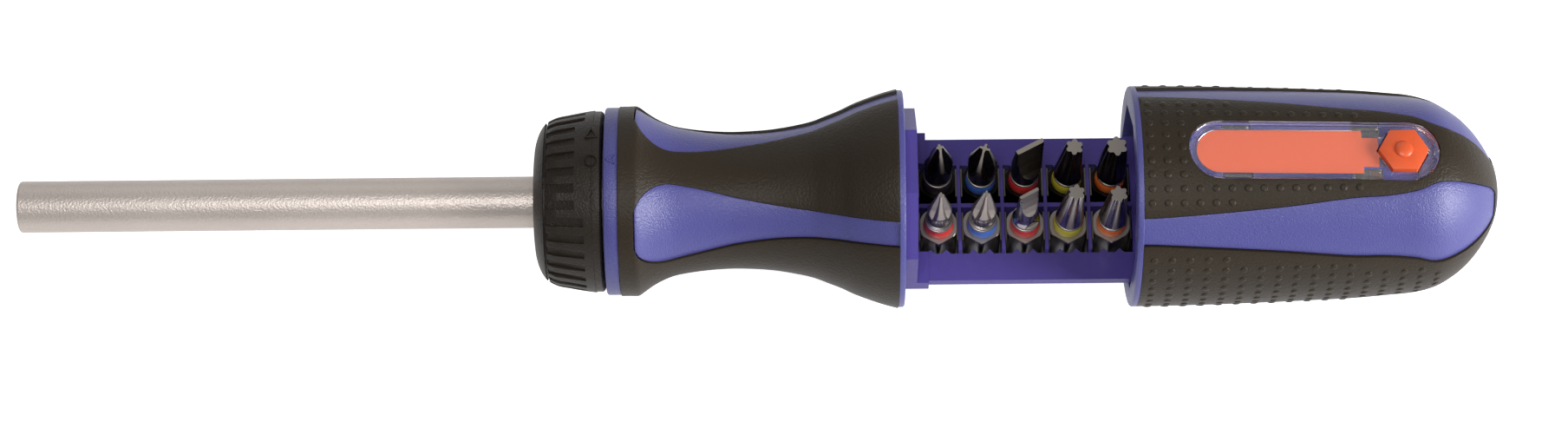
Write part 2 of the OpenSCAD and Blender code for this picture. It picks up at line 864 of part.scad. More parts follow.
module collar_ring() {
    color("silver") difference() {
        bar(ring_outer_d, ring_slot_x + gap, ring_slot_x + gap + ring_t);
        bar(ring_inner_d, ring_slot_x, ring_slot_x + 2 * gap + ring_t);
        block([ring_slot_x, -ring_opening / 2, -housing_d],
            [ring_slot_x + 2 * gap + ring_t, ring_opening / 2, 0]);
    }
}

module detent_ball() {
    color("silver") round_at(180) translate([ball_x, 0, track_d / 2]) sphere(d = ball_d, $fn = round_fn);
}

module detent_spring() {
    spring_start = ball_x + ball_d / 2;
    color("silver") round_at(180) translate([spring_start, 0, track_d / 2]) rotate([0, rear_angle, 0])
        coil(ball_bore_d - gap, coil_wire, detent_turns, ring_x + ball_bore_len - spring_start - fit);
}

module bit_tube() {
    color("silver") difference() {
        union() {
            turned([
                [0, 0], [tube_d / 2 - tube_bevel, 0], [tube_d / 2, tube_bevel],
                [tube_d / 2, collar_x - gap], [journal_d / 2, collar_x - gap], [journal_d / 2, gear_x],
                [0, gear_x]
            ]);
            intersection() {
                bar(drive_d, gear_x, gear_end);
                block([gear_x, -drive_d, -shank_d / 2], [gear_end, drive_d, shank_d / 2]);
            }
            bar(groove_d, gear_x - cut, gear_end + cut);
            turned([
                [0, gear_end], [shank_d / 2, gear_end], [shank_d / 2, groove_x], [groove_d / 2, groove_x],
                [groove_d / 2, groove_x + circlip_t], [shank_d / 2, groove_x + circlip_t],
                [shank_d / 2, shank_end - tube_bevel], [shank_d / 2 - tube_bevel, shank_end], [0, shank_end]
            ]);
        }
        translate([-cut, 0, 0]) rotate([0, rear_angle, 0])
            cylinder(d = (bit_af + socket_clearance) / cos(30), h = socket_depth + cut, $fn = 6);
        bar(magnet_d, 0, socket_depth + magnet_len);
    }
}

module socket_magnet() {
    color("dimgray") bar(magnet_d, socket_depth, socket_depth + magnet_len);
}

module ratchet_gear() {
    color("gray") difference() {
        translate([gear_x, 0, 0]) rotate([rear_angle, 0, rear_angle]) linear_extrude(gear_w)
            polygon([for (i = [0:2 * gear_teeth - 1])
                let (a = 180 * i / gear_teeth, r = gear_d / 2 - (i % 2) * tooth_depth)
                [r * cos(a), r * sin(a)]]);
        intersection() {
            bar(drive_d, gear_x - cut, gear_end + cut);
            block([gear_x - cut, -drive_d, -shank_d / 2], [gear_end + cut, drive_d, shank_d / 2]);
        }
    }
}

module thrust_washer() {
    color("silver") difference() {
        bar(bush_d, washer_x, washer_x + washer_t);
        bar(shank_d, washer_x - cut, washer_x + washer_t + cut);
    }
}

module spindle_circlip() {
    color("dimgray") difference() {
        bar(circlip_d, groove_x, groove_x + circlip_t);
        bar(groove_d, groove_x - cut, groove_x + circlip_t + cut);
        block([groove_x - cut, -ring_opening / 2, -circlip_d],
            [groove_x + circlip_t + cut, ring_opening / 2, 0]);
    }
}

// One mark on the collar's smooth band, turned from the top
module collar_mark(angle, points) {
    round_at(angle) translate([collar_end - mark_back, 0, collar_d / 2 - cut])
        linear_extrude(cut + mark_h / 2) polygon(points);
}

module selector_collar() {
    half = mark_len / 2;
    color("darkslategray") {
        difference() {
            union() {
                turned(concat(
                    [[0, collar_x]],
                    [for (s = collar_shares) [s[1] * collar_d / 2, collar_x + s[0] * collar_len]],
                    [[0, collar_end]]
                ));
                collar_mark(0, [[0, -half], [mark_len, -half], [mark_len, half], [0, half]]);
                collar_mark(selector_swing, [[0, -half], [mark_len, -half], [half, mark_len]]);
                collar_mark(-selector_swing, [[0, half], [mark_len, half], [half, -mark_len]]);
            }
            bar(tube_gap_d, collar_x - cut, collar_end);
            bar(collar_bore, collar_x + nose_wall, collar_end + cut);
            bar(ring_outer_d + 2 * gap, ring_slot_x, ring_slot_x + 2 * gap + ring_t);
            difference() {
                bar(track_d + track_w, collar_end - track_depth, collar_end + cut);
                bar(track_d - track_w, collar_end - track_depth - cut, collar_end + 2 * cut);
            }
            for (a = [-1, 0, 1]) round_at(180 + a * selector_swing) translate([0, 0, track_d / 2])
                bar(ball_d + gap, collar_end - track_depth - notch_depth, collar_end + cut);
            for (i = [0:flute_count - 1]) round_at(360 * (i + 1 / 2) / flute_count)
                translate([flute_x, -flute_w / 2, collar_d * flute_seat_share - flute_depth])
                    rotate([0, -flute_slope, 0]) cube([flute_len, flute_w, flute_w]);
        }
        intersection() {
            difference() {
                bar(collar_bore + cut, gear_x, cavity_end);
                bar(cam_d, gear_x - cut, cavity_end + cut);
            }
            block([gear_x, -lug_arc_w / 2, 0], [cavity_end, lug_arc_w / 2, housing_d]);
        }
    }
}

// The pawl on the pin at the +Y side
module pawl() {
    translate([gear_x + gap, 0, 0]) difference() {
        rotate([rear_angle, 0, rear_angle]) linear_extrude(pawl_w - gap) {
            translate([pawl_pin_y, pawl_pin_z]) circle(d = pawl_boss_d, $fn = round_fn);
            polygon([
                [nose_y, nose_z], [heel_y, heel_z], [pawl_pin_y, pawl_pin_z - pawl_boss_d / 2 + fit],
                [pawl_pin_y, pawl_pin_z + pawl_boss_d / 2 - fit], [nose_y, nose_z + nose_h]
            ]);
        }
        translate([0, pawl_pin_y, pawl_pin_z]) bar(pawl_pin_d + 2 * fit, -cut, pawl_w + cut);
    }
}

module forward_pawl() {
    color("gray") pawl();
}

module reverse_pawl() {
    color("gray") mirror([0, 1, 0]) pawl();
}

// Children in the label window's tilted frame
module label_frame() {
    translate([cover_x, 0, cover_top]) rotate([0, cover_tilt, 0]) children();
}

// Outline of the cover with its four snap clips
module cover_outline(room) {
    translate([-room, 0]) stadium(cover_len + 2 * room, cover_w + 2 * room);
    for (c = cover_clip_shares)
        translate([c * cover_len - cover_clip_len / 2 - room, -cover_w / 2 - cover_clip_out - room])
            square([cover_clip_len + 2 * room, cover_w + 2 * cover_clip_out + 2 * room]);
}

// A hexagon post along Z at the button, corners along the tool
module button_post(af, low, high) {
    translate([button_x, 0, low]) cylinder(d = af / cos(30), h = high - low, $fn = 6);
}

module cap_shell() {
    color("slateblue") {
        difference() {
            union() {
                turned(concat([[0, cap_x]], cap_points(cap_rubber_t)));
                turned([
                    [0, cap_x], [cap_d / 2 - window_drop, cap_x], [cap_d / 2, cap_x + window_drop],
                    [cap_d / 2, cap_x + cap_rim], [0, cap_x + cap_rim]
                ]);
                intersection() {
                    turned(concat([[0, cap_x]], cap_points(window_drop)));
                    cap_windows(window_groove);
                }
                label_frame() translate([0, 0, seat_z - boss_depth]) linear_extrude(boss_depth)
                    cover_outline(0);
            }
            label_frame() translate([0, 0, seat_z]) linear_extrude(cover_w) cover_outline(0);
            octagon(mouth_bore_d, cap_x - cut, belly_end);
            octagon(cap_bore_d, cap_x, bore_end);
            block([bore_end - cut, -pocket_w / 2, pocket_floor], [pocket_end, pocket_w / 2, bore_top - fit]);
            button_post(button_af + 2 * gap, button_low - button_travel - gap, cap_d);
        }
        for (side = [-1, 1]) translate([0, side * (stop_y + stop_w / 2), 0])
            block([stop_x - stop_len, -stop_w / 2, stop_low], [stop_x, stop_w / 2, stop_low + stop_h]);
    }
}

module cap_grip() {
    color("dimgray") difference() {
        turned(concat(rubber_points(0), reversed(rubber_points(cap_rubber_t))));
        cap_windows(0);
        label_frame() translate([0, 0, seat_z - boss_depth]) linear_extrude(2 * cover_w)
            cover_outline(grip_clearance);
    }
}

// Outline of the orange strip, with its narrow end towards the button
module strip_outline(room) {
    translate([strip_start - room, 0]) {
        intersection() {
            stadium(strip_len + strip_w, strip_w + 2 * room);
            translate([0, -strip_w]) square([strip_len - strip_neck_len + 2 * room, 2 * strip_w]);
        }
        translate([strip_w, -strip_neck_w / 2 - room])
            square([strip_len - strip_w + 2 * room, strip_neck_w + 2 * room]);
    }
}

module label_cover() {
    color("gainsboro", 0.4) difference() {
        label_frame() translate([0, 0, seat_z]) linear_extrude(cover_t) cover_outline(0);
        label_frame() translate([0, 0, seat_z - cut]) linear_extrude(strip_t + strip_clearance + cut)
            strip_outline(strip_clearance);
        button_post(button_af + 2 * gap, 0, cap_d);
    }
}

module label_strip() {
    color("tomato") difference() {
        label_frame() translate([0, 0, seat_z]) linear_extrude(strip_t) strip_outline(0);
        button_post(button_af + 2 * gap, 0, cap_d);
    }
}

module release_spring() {
    color("silver") translate([spring_x, 0, pocket_floor + fit])
        coil(spring_d, spring_wire, spring_turns, flange_z - pocket_floor - 2 * fit);
}

module release_button() {
    color("tomato") {
        button_post(button_af, button_low, button_top);
        translate([button_x, 0, button_top - fit]) cylinder(d = stud_d, h = stud_h, $fn = round_fn);
        block([stem_x, -stem_w / 2, arm_low], [stem_x + stem_t, stem_w / 2, button_low + fit]);
        block([stem_x, -flange_w / 2, flange_z], [stem_x + flange_len, flange_w / 2, flange_z + flange_t]);
        translate([0, stem_w / 2, 0]) rotate([rear_angle, 0, 0]) linear_extrude(stem_w) polygon([
            [barb_x, arm_low], [stem_x + stem_t, arm_low], [stem_x + stem_t, arm_low + arm_h],
            [barb_x + barb_len, arm_low + arm_h], [barb_x + barb_len, arm_low + arm_h + barb_h],
            [barb_x + barb_len / 2, arm_low + arm_h + barb_h], [barb_x, arm_low + arm_h / 2]
        ]);
    }
}

handle_core();
front_grip();
bit_rack();
bit_clips();
front_bit_1();
front_bit_2();
front_bit_3();
front_bit_4();
front_bit_5();
back_bit_1();
back_bit_2();
back_bit_3();
back_bit_4();
back_bit_5();
red_bit_bands();
blue_bit_bands();
yellow_bit_bands();
orange_bit_bands();
black_bit_band();
ratchet_housing();
housing_cover();
cover_screws();
pawl_pins();
pawl_springs();
spindle_bush();
collar_ring();
detent_ball();
detent_spring();
bit_tube();
socket_magnet();
ratchet_gear();
thrust_washer();
spindle_circlip();
selector_collar();
forward_pawl();
reverse_pawl();
cap_shell();
cap_grip();
label_cover();
label_strip();
release_spring();
release_button();
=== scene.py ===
import math

import bpy
from mathutils import Matrix, Quaternion, Vector


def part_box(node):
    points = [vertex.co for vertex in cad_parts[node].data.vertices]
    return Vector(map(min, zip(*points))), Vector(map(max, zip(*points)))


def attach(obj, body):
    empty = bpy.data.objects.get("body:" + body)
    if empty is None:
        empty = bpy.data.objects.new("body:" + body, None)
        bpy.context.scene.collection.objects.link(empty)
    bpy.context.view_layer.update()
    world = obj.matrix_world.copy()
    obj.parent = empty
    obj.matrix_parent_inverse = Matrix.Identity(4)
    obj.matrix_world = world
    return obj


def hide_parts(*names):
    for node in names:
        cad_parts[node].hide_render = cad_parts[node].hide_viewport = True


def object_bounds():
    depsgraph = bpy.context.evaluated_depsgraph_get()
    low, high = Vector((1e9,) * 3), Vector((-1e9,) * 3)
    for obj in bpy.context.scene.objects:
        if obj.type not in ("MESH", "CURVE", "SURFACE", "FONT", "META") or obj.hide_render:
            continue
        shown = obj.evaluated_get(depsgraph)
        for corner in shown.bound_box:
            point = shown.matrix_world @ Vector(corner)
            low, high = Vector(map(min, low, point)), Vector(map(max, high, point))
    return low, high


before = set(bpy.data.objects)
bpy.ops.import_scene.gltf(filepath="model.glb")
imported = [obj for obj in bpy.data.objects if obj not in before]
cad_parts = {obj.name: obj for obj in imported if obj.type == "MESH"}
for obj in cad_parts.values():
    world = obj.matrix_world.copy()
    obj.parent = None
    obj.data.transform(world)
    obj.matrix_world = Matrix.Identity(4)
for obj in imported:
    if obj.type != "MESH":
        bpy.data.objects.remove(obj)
cad_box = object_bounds()
mm = 0.001


# Camera, table and light
# The photograph looks down on the tool from its near side, from about 0.7 m.
# The table and the studio round it are plain and pale, and aren't part of the tool.
def linear(red, green, blue):
    """A colour as it is seen, from 0 to 255, as the numbers that a shader takes."""
    shares = [value / 255 for value in (red, green, blue)]
    return (*[s / 12.92 if s < 0.04 else ((s + 0.055) / 1.055) ** 2.4 for s in shares], 1)


def set_inputs(node, **values):
    """A shader node with its inputs set; an underscore in a name stands for a space."""
    for name, value in values.items():
        node.inputs[name.replace("_", " ")].default_value = value
    return node


def link(tree, *pairs):
    """Links each pair of an output and an input."""
    for given, taken in pairs:
        tree.links.new(given, taken)


def start_material(name, **values):
    """A new material, its node tree and its surface shader with its inputs set."""
    material = bpy.data.materials.new(name)
    material.use_nodes = True
    tree = material.node_tree
    return material, tree, set_inputs(tree.nodes["Principled BSDF"], **values)


def seen_by(tree, strength, light, **shares):
    """A glow's strength: its own light, and more for each kind of ray that sees it."""
    rays = tree.nodes.new("ShaderNodeLightPath")
    for kind, share in shares.items():
        more = tree.nodes.new("ShaderNodeMath")
        more.operation = "MULTIPLY_ADD"
        more.inputs[1].default_value = share
        more.inputs[2].default_value = light
        link(tree, (rays.outputs[f"Is {kind.title()} Ray"], more.inputs[0]), (more.outputs[0], strength))
        strength = more.inputs[2]


photo_width = 1808
photo_scale = 6.578
camera_distance = 0.69
camera_height = math.radians(64.5)
camera_roll = math.radians(0.56)
aim_along = 133.8 * mm
aim_below = 4.25 * mm
sensor = 36
towards = Vector((0, -math.cos(camera_height), math.sin(camera_height)))
picture_up = Vector((0, math.sin(camera_height), math.cos(camera_height)))
aim = Vector((aim_along, 0, 0)) - picture_up * aim_below
bpy.ops.object.camera_add(location=aim + towards * camera_distance)
camera = bpy.context.object
camera.rotation_mode = "QUATERNION"
camera.rotation_quaternion = (-towards).to_track_quat("-Z", "Y") @ Quaternion((0, 0, 1), -camera_roll)
camera.data.sensor_width = sensor
camera.data.lens = photo_scale / mm * camera_distance / photo_width * sensor
bpy.context.scene.camera = camera

table_drop = cad_box[0].z
table_size = 6
bpy.ops.mesh.primitive_grid_add(x_subdivisions=4, y_subdivisions=4, size=table_size,
                                location=(aim_along, 0, table_drop))
table = bpy.context.object
table.name = "table"
white = (1, 1, 1, 1)
material, tree, shader = start_material("pale_table", Base_Color=linear(236, 236, 236), Roughness=0.9)
glow = set_inputs(tree.nodes.new("ShaderNodeEmission"), Color=white)
seen_by(tree, glow.inputs["Strength"], 0, camera=0.78, glossy=0.3, transmission=0.78)
both = tree.nodes.new("ShaderNodeAddShader")
link(tree, (shader.outputs[0], both.inputs[0]), (glow.outputs[0], both.inputs[1]),
     (both.outputs[0], tree.nodes["Material Output"].inputs["Surface"]))
table.data.materials.append(material)

world = bpy.data.worlds.new("studio")
world.use_nodes = True
sky = set_inputs(world.node_tree.nodes["Background"], Color=white)
seen_by(world.node_tree, sky.inputs["Strength"], 0.2, camera=0.8, glossy=0.1, transmission=0.8)
bpy.context.scene.world = world
bpy.context.scene.view_settings.view_transform = "Standard"


def soft_light(name, place, size, power):
    """A square soft lamp at a place, turned to the middle of the tool."""
    bpy.ops.object.light_add(type="AREA", location=place)
    lamp = bpy.context.object
    lamp.name = name
    lamp.data.size = size
    lamp.data.energy = power
    lamp.rotation_mode = "QUATERNION"
    lamp.rotation_quaternion = (aim - Vector(place)).to_track_quat("-Z", "Y")


soft_light("key_light", (0.95, -0.3, 0.36), size=0.42, power=11)
soft_light("top_light", (0.05, -0.36, 0.92), size=0.3, power=3.6)
soft_light("back_light", (-0.1, 0.9, 0.6), size=0.8, power=1.5)


# Bit tube
# A steel tube, turned, with a hexagon socket broached into its mouth for a bit.
# It is pressed on to the spindle's shank, and its skin is satin with a fine sparkle.
def grain_group():
    """Fine grain and slow clouds over a surface, for every moulded or turned finish."""
    group = bpy.data.node_groups.new("surface_grain", "ShaderNodeTree")
    for name, way, value in (("Grains per metre", "INPUT", 3000), ("Clouds per metre", "INPUT", 60),
                             ("Height", "OUTPUT", 0), ("Clouds", "OUTPUT", 0)):
        socket = group.interface.new_socket(name, in_out=way, socket_type="NodeSocketFloat")
        socket.default_value = value
    given = group.nodes.new("NodeGroupInput")
    made = group.nodes.new("NodeGroupOutput")
    place = group.nodes.new("ShaderNodeTexCoord")
    for result, scale, detail in (("Height", "Grains per metre", 2), ("Clouds", "Clouds per metre", 4)):
        noise = set_inputs(group.nodes.new("ShaderNodeTexNoise"), Detail=detail)
        link(group, (place.outputs["Object"], noise.inputs["Vector"]),
             (given.outputs[scale], noise.inputs["Scale"]), (noise.outputs["Fac"], made.inputs[result]))
    return group


surface_grain = grain_group()


def grain_skin(tree, shader, kind, depth, grains=3000):
    """Gives a shader a fine relief by the surface grain, and returns the grain."""
    grain = tree.nodes.new("ShaderNodeGroup")
    grain.node_tree = surface_grain
    set_inputs(grain, Grains_per_metre=grains)
    relief = set_inputs(tree.nodes.new("ShaderNodeBump"), Distance=depth)
    link(tree, (grain.outputs[kind], relief.inputs["Height"]),
         (relief.outputs["Normal"], shader.inputs["Normal"]))
    return grain


def rough_between(tree, shader, share, low, high):
    """Takes a shader's roughness from low to high with a share from 0 to 1."""
    sheen = set_inputs(tree.nodes.new("ShaderNodeMapRange"), To_Min=low, To_Max=high)
    link(tree, (share, sheen.inputs["Value"]), (sheen.outputs["Result"], shader.inputs["Roughness"]))


def grained(name, dark, light, roughness, metal, grains, depth, shine=0.5, spread=0.08):
    """A material whose colour, roughness and skin follow the surface grain."""
    material, tree, shader = start_material(name, Metallic=metal, Specular_IOR_Level=shine)
    grain = grain_skin(tree, shader, "Height", depth, grains)
    tint = tree.nodes.new("ShaderNodeMix")
    tint.data_type = "RGBA"
    set_inputs(tint, A=linear(*dark), B=linear(*light))
    link(tree, (grain.outputs["Clouds"], tint.inputs["Factor"]),
         (tint.outputs["Result"], shader.inputs["Base Color"]))
    rough_between(tree, shader, grain.outputs["Clouds"], roughness - spread, roughness + spread)
    return material


def dressed(material, *nodes):
    """Gives CAD nodes their finish."""
    for node in nodes:
        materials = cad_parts[node].data.materials
        materials.clear()
        materials.append(material)


def select_only(piece):
    """Selects one piece alone and makes it active."""
    bpy.ops.object.select_all(action="DESELECT")
    piece.select_set(True)
    bpy.context.view_layer.objects.active = piece


def finished(piece, name, material, body, slot, *nodes):
    """A new piece with its name, finish and body, in place of CAD nodes."""
    select_only(piece)
    bpy.ops.object.transform_apply()
    piece.name = name
    piece.data.name = name
    piece.data.materials.clear()
    piece.data.materials.append(material)
    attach(piece, body)
    if nodes:
        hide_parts(*nodes)
    return piece


def mode(name, action=None):
    """Goes into edit or object mode, and selects all or nothing there if told to."""
    bpy.ops.object.mode_set(mode=name)
    if action:
        bpy.ops.mesh.select_all(action=action)


def faced_out(piece):
    """Turns the faces of a closed piece outwards."""
    select_only(piece)
    mode("EDIT", "SELECT")
    bpy.ops.mesh.normals_make_consistent(inside=False)
    mode("OBJECT")
    return piece


weld = 0.002 * mm


def turned(outline, sides=160):
    """A shape turned about the tool's axis from its outline of (place, radius) points."""
    bpy.ops.object.select_all(action="DESELECT")
    bpy.ops.mesh.primitive_circle_add(vertices=len(outline), radius=1)
    piece = bpy.context.object
    for vertex, (place, radius) in zip(piece.data.vertices, outline):
        vertex.co = (place, 0, radius)
    ends_on_axis = outline[0][1] == 0 and outline[-1][1] == 0
    mode("EDIT", "DESELECT")
    bpy.ops.mesh.select_mode(type="EDGE")
    mode("OBJECT")
    for edge in piece.data.edges:
        edge.select = ends_on_axis and set(edge.vertices) == {0, len(outline) - 1}
    mode("EDIT")
    if ends_on_axis:
        bpy.ops.mesh.delete(type="EDGE")
    bpy.ops.mesh.select_all(action="SELECT")
    bpy.ops.mesh.spin(steps=sides, angle=math.tau, center=(0, 0, 0), axis=(1, 0, 0))
    bpy.ops.mesh.select_all(action="SELECT")
    bpy.ops.mesh.remove_doubles(threshold=weld)
    mode("OBJECT")
    return faced_out(piece)


def applied(piece, kind, **settings):
    """Adds a modifier with its settings and applies it."""
    select_only(piece)
    modifier = piece.modifiers.new(kind.title(), kind)
    for key, value in settings.items():
        setattr(modifier, key, value)
    bpy.ops.object.modifier_apply(modifier=modifier.name)
    return piece


def cut_out(piece, tool, operation="DIFFERENCE"):
    """Cuts a tool's shape out of a piece, or adds it, and removes the tool."""
    applied(piece, "BOOLEAN", object=tool, operation=operation, solver="EXACT")
    bpy.data.objects.remove(tool)
    return piece


def smoothed(piece, angle=30):
    """Smooth faces, with edges sharper than the angle kept."""
    select_only(piece)
    bpy.ops.object.shade_smooth_by_angle(angle=math.radians(angle))
    return piece


def bar(sides, radius, start, end):
    """A straight bar along the tool."""
    bpy.ops.mesh.primitive_cylinder_add(vertices=sides, radius=radius, depth=end - start,
                                        location=((start + end) / 2, 0, 0), rotation=(0, math.pi / 2, 0))
    bpy.ops.object.transform_apply()
    return bpy.context.object


tube_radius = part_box("bit_tube")[1].z
tube_bevel = 0.5 * mm
mouth_steps = 6
collar_gap = 0.3 * mm
journal_radius = 4.3 * mm
journal_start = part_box("selector_collar")[0].x - collar_gap
journal_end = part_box("ratchet_gear")[0].x
shank_radius = 3.6 * mm
shank_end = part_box("bit_tube")[1].x
socket_radius = 3.7355 * mm
socket_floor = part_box("socket_magnet")[0].x
magnet_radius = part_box("socket_magnet")[1].z
magnet_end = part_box("socket_magnet")[1].x
mouth_round = [(tube_bevel * (1 - math.cos(a)), tube_radius - tube_bevel * (1 - math.sin(a)))
               for a in [math.pi / 2 * k / mouth_steps for k in range(mouth_steps + 1)]]
tube = turned([(0, 0)] + mouth_round + [
    (journal_start, tube_radius), (journal_start, journal_radius), (journal_end, journal_radius),
    (journal_end, shank_radius), (shank_end - tube_bevel, shank_radius),
    (shank_end, shank_radius - tube_bevel), (shank_end, 0)])
cut_out(tube, bar(6, socket_radius, -socket_floor, socket_floor))
cut_out(tube, bar(48, magnet_radius, -magnet_end, magnet_end))
tube_steel = grained("satin_tube_steel", (194, 183, 176), (206, 196, 189), 0.44, 0.65, 2600, 0.00009,
                     spread=0.04)
finished(smoothed(tube), "bit_tube_steel", tube_steel, "spindle", "tube_steel", "bit_tube")


# Magnet, gear, washer and clip on the spindle
# The magnet is pressed into the socket's floor and holds a bit by its end.
# The gear is hardened steel, driven by two flats; washer and clip hold the shank in its bush.
bright_steel = grained("bright_steel", (168, 163, 158), (186, 182, 178), 0.3, 1, 4000, 0.00002)
dark_steel = grained("hardened_steel", (84, 82, 80), (104, 101, 98), 0.42, 1, 4000, 0.00003)
dressed(dark_steel, "socket_magnet", "ratchet_gear", "spindle_circlip")
dressed(bright_steel, "thrust_washer")


# Ratchet housing with its cover, pawls and springs
# The housing is cast and pressed into the handle; three screws hold its steel cover.
# The pawls swing on two pins under the cover, and small coil springs press on them.
cast_metal = grained("cast_metal", (118, 118, 120), (142, 142, 144), 0.55, 0.9, 1500, 0.0001)
bronze = grained("turned_bronze", (158, 118, 66), (178, 138, 84), 0.36, 1, 3000, 0.00003)
dressed(cast_metal, "ratchet_housing")
dressed(bronze, "spindle_bush")
dressed(bright_steel, "housing_cover", "pawl_pins", "pawl_springs", "collar_ring", "detent_ball",
        "detent_spring")
dressed(dark_steel, "cover_screws", "forward_pawl", "reverse_pawl")


# Selector collar
# A dark moulded collar that is turned by finger to set forward, lock or reverse.
# It has a rounded nose, shallow finger recesses and a smooth band with raised signs.
def scaled(shares, start, length, radius, base=0):
    """Points of an outline from their shares of a length and of a radius above a base."""
    return [(start + x * length, base + r * radius) for x, r in shares]


def smooth_line(points, pitch, steps=20):
    """A smooth line through points in a plane, with a point at every pitch along it."""
    first = Vector(points[0]) * 2 - Vector(points[1])
    last = Vector(points[-1]) * 2 - Vector(points[-2])
    knots = [first] + [Vector(point) for point in points] + [last]
    fine = [knots[1]]
    for a, b, c, d in zip(knots, knots[1:], knots[2:], knots[3:]):
        times = [0]
        for near, far in ((a, b), (b, c), (c, d)):
            times.append(times[-1] + math.sqrt((far - near).length))
        for k in range(1, steps + 1):
            t = times[1] + (times[2] - times[1]) * k / steps
            ab = a.lerp(b, (t - times[0]) / (times[1] - times[0]))
            bc = b.lerp(c, (t - times[1]) / (times[2] - times[1]))
            cd = c.lerp(d, (t - times[2]) / (times[3] - times[2]))
            abc = ab.lerp(bc, (t - times[0]) / (times[2] - times[0]))
            bcd = bc.lerp(cd, (t - times[1]) / (times[3] - times[1]))
            fine.append(abc.lerp(bcd, (t - times[1]) / (times[2] - times[1])))
    walked = [0]
    for near, far in zip(fine, fine[1:]):
        walked.append(walked[-1] + (far - near).length)
    count = max(1, round(walked[-1] / pitch))
    line, k = [], 0
    for step in range(count + 1):
        goal = walked[-1] * step / count
        while k < len(walked) - 2 and walked[k + 1] < goal:
            k += 1
        line.append(tuple(fine[k].lerp(fine[k + 1], (goal - walked[k]) / (walked[k + 1] - walked[k]))))
    return line


def value_at(table, place):
    """The value at a place, on straight lines between (place, value) points."""
    if place <= table[0][0]:
        return table[0][1]
    for (a, low), (b, high) in zip(table, table[1:]):
        if place <= b:
            return low + (high - low) * (place - a) / (b - a)
    return table[-1][1]


def wrapped(outline, angles_at, holes=None):
    """A skin round the axis: rows follow the outline, columns the angles at each row's place."""
    columns = len(angles_at(*outline[0]))
    rows = len(outline)
    bpy.ops.object.select_all(action="DESELECT")
    bpy.ops.mesh.primitive_grid_add(x_subdivisions=rows - 1, y_subdivisions=columns - 1, size=1)
    piece = bpy.context.object
    for row, (place, radius) in enumerate(outline):
        for column, angle in enumerate(angles_at(place, radius)):
            piece.data.vertices[row + column * rows].co = (
                place, radius * math.sin(angle), radius * math.cos(angle))
    mode("EDIT", "DESELECT")
    bpy.ops.mesh.select_mode(type="FACE")
    mode("OBJECT")
    if holes:
        for face in piece.data.polygons:
            row = min(v % rows for v in face.vertices)
            column = min(v // rows for v in face.vertices)
            face.select = holes(row, column)
    mode("EDIT")
    bpy.ops.mesh.delete(type="FACE")
    bpy.ops.mesh.select_mode(type="VERT")
    bpy.ops.mesh.select_all(action="SELECT")
    bpy.ops.mesh.remove_doubles(threshold=weld)
    mode("OBJECT")
    face = piece.data.polygons[len(piece.data.polygons) // 2]
    if face.normal.dot(Vector((0, face.center.y, face.center.z))) < 0:
        mode("EDIT")
        bpy.ops.mesh.flip_normals()
        mode("OBJECT")
    return piece


def plate(outline, low, high):
    """A flat plate from its outline of (along, across) points, between two heights."""
    bpy.ops.object.select_all(action="DESELECT")
    bpy.ops.mesh.primitive_circle_add(vertices=len(outline), radius=1, fill_type="NGON")
    piece = bpy.context.object
    for vertex, (along, across) in zip(piece.data.vertices, outline):
        vertex.co = (along, across, low)
    mode("EDIT", "SELECT")
    bpy.ops.mesh.extrude_region_move(TRANSFORM_OT_translate={"value": (0, 0, high - low)})
    mode("OBJECT")
    return faced_out(piece)


def eased(piece, width, segments=2, angle=50):
    """A piece with the edges that are sharper than an angle bevelled."""
    return applied(piece, "BEVEL", width=width, segments=segments, limit_method="ANGLE",
                   angle_limit=math.radians(angle))


def joined(pieces):
    """Several pieces as one."""
    bpy.ops.object.select_all(action="DESELECT")
    for piece in pieces:
        piece.select_set(True)
    bpy.context.view_layer.objects.active = pieces[0]
    bpy.ops.object.join()
    return pieces[0]


def repeated(piece, places):
    """One piece copied to each place, a matrix, and joined."""
    copies = []
    for place in places:
        twin = piece.copy()
        twin.data = piece.data.copy()
        twin.data.transform(place)
        bpy.context.collection.objects.link(twin)
        copies.append(twin)
    bpy.data.objects.remove(piece)
    return joined(copies)


def turn(degrees):
    """A turn about the tool's axis, from the top towards +Y."""
    return Matrix.Rotation(-math.radians(degrees), 4, "X")


def rounded(long, wide, radius, start=0, steps=4):
    """Outline of a rounded rectangle that runs from a start along the tool."""
    corners = [(long - radius, wide / 2 - radius, 0), (radius, wide / 2 - radius, 90),
               (radius, radius - wide / 2, 180), (long - radius, radius - wide / 2, 270)]
    return [(start + x + radius * math.cos(math.radians(a + 90 * k / steps)),
             y + radius * math.sin(math.radians(a + 90 * k / steps)))
            for x, y, a in corners for k in range(steps + 1)]


collar_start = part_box("selector_collar")[0].x
collar_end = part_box("selector_collar")[1].x
collar_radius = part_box("selector_collar")[1].y
housing_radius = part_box("ratchet_housing")[1].y
collar_length = collar_end - collar_start
nose_shares = [(0.0, 0.56), (0.012, 0.63), (0.033, 0.69), (0.06, 0.745), (0.09, 0.79), (0.13, 0.835),
               (0.16, 0.86)]
skirt_shares = [(0.2, 0.88), (0.24, 0.897), (0.33, 0.925), (0.48, 0.947), (0.63, 0.968), (0.79, 0.988),
                (0.9, 0.998)]
nose_pitch = 0.25 * mm
skirt_pitch = 0.35 * mm
nose_line = smooth_line(scaled(nose_shares, collar_start, collar_length, collar_radius), nose_pitch)
skirt_line = smooth_line(scaled(skirt_shares, collar_start, collar_length, collar_radius), skirt_pitch)
nose_end = collar_start + nose_shares[-1][0] * collar_length
groove_radius = nose_shares[-1][1] * collar_radius - 0.45 * mm
groove_lead = 0.03 * mm
groove_end = 0.38 * mm
nose_groove = [(nose_end + groove_lead, groove_radius), (nose_end + groove_end, groove_radius)]
band_step = 0.2 * mm
band_start = collar_end - 1.5 * mm
band_round = 0.3 * mm
nose_bore = tube_radius + collar_gap
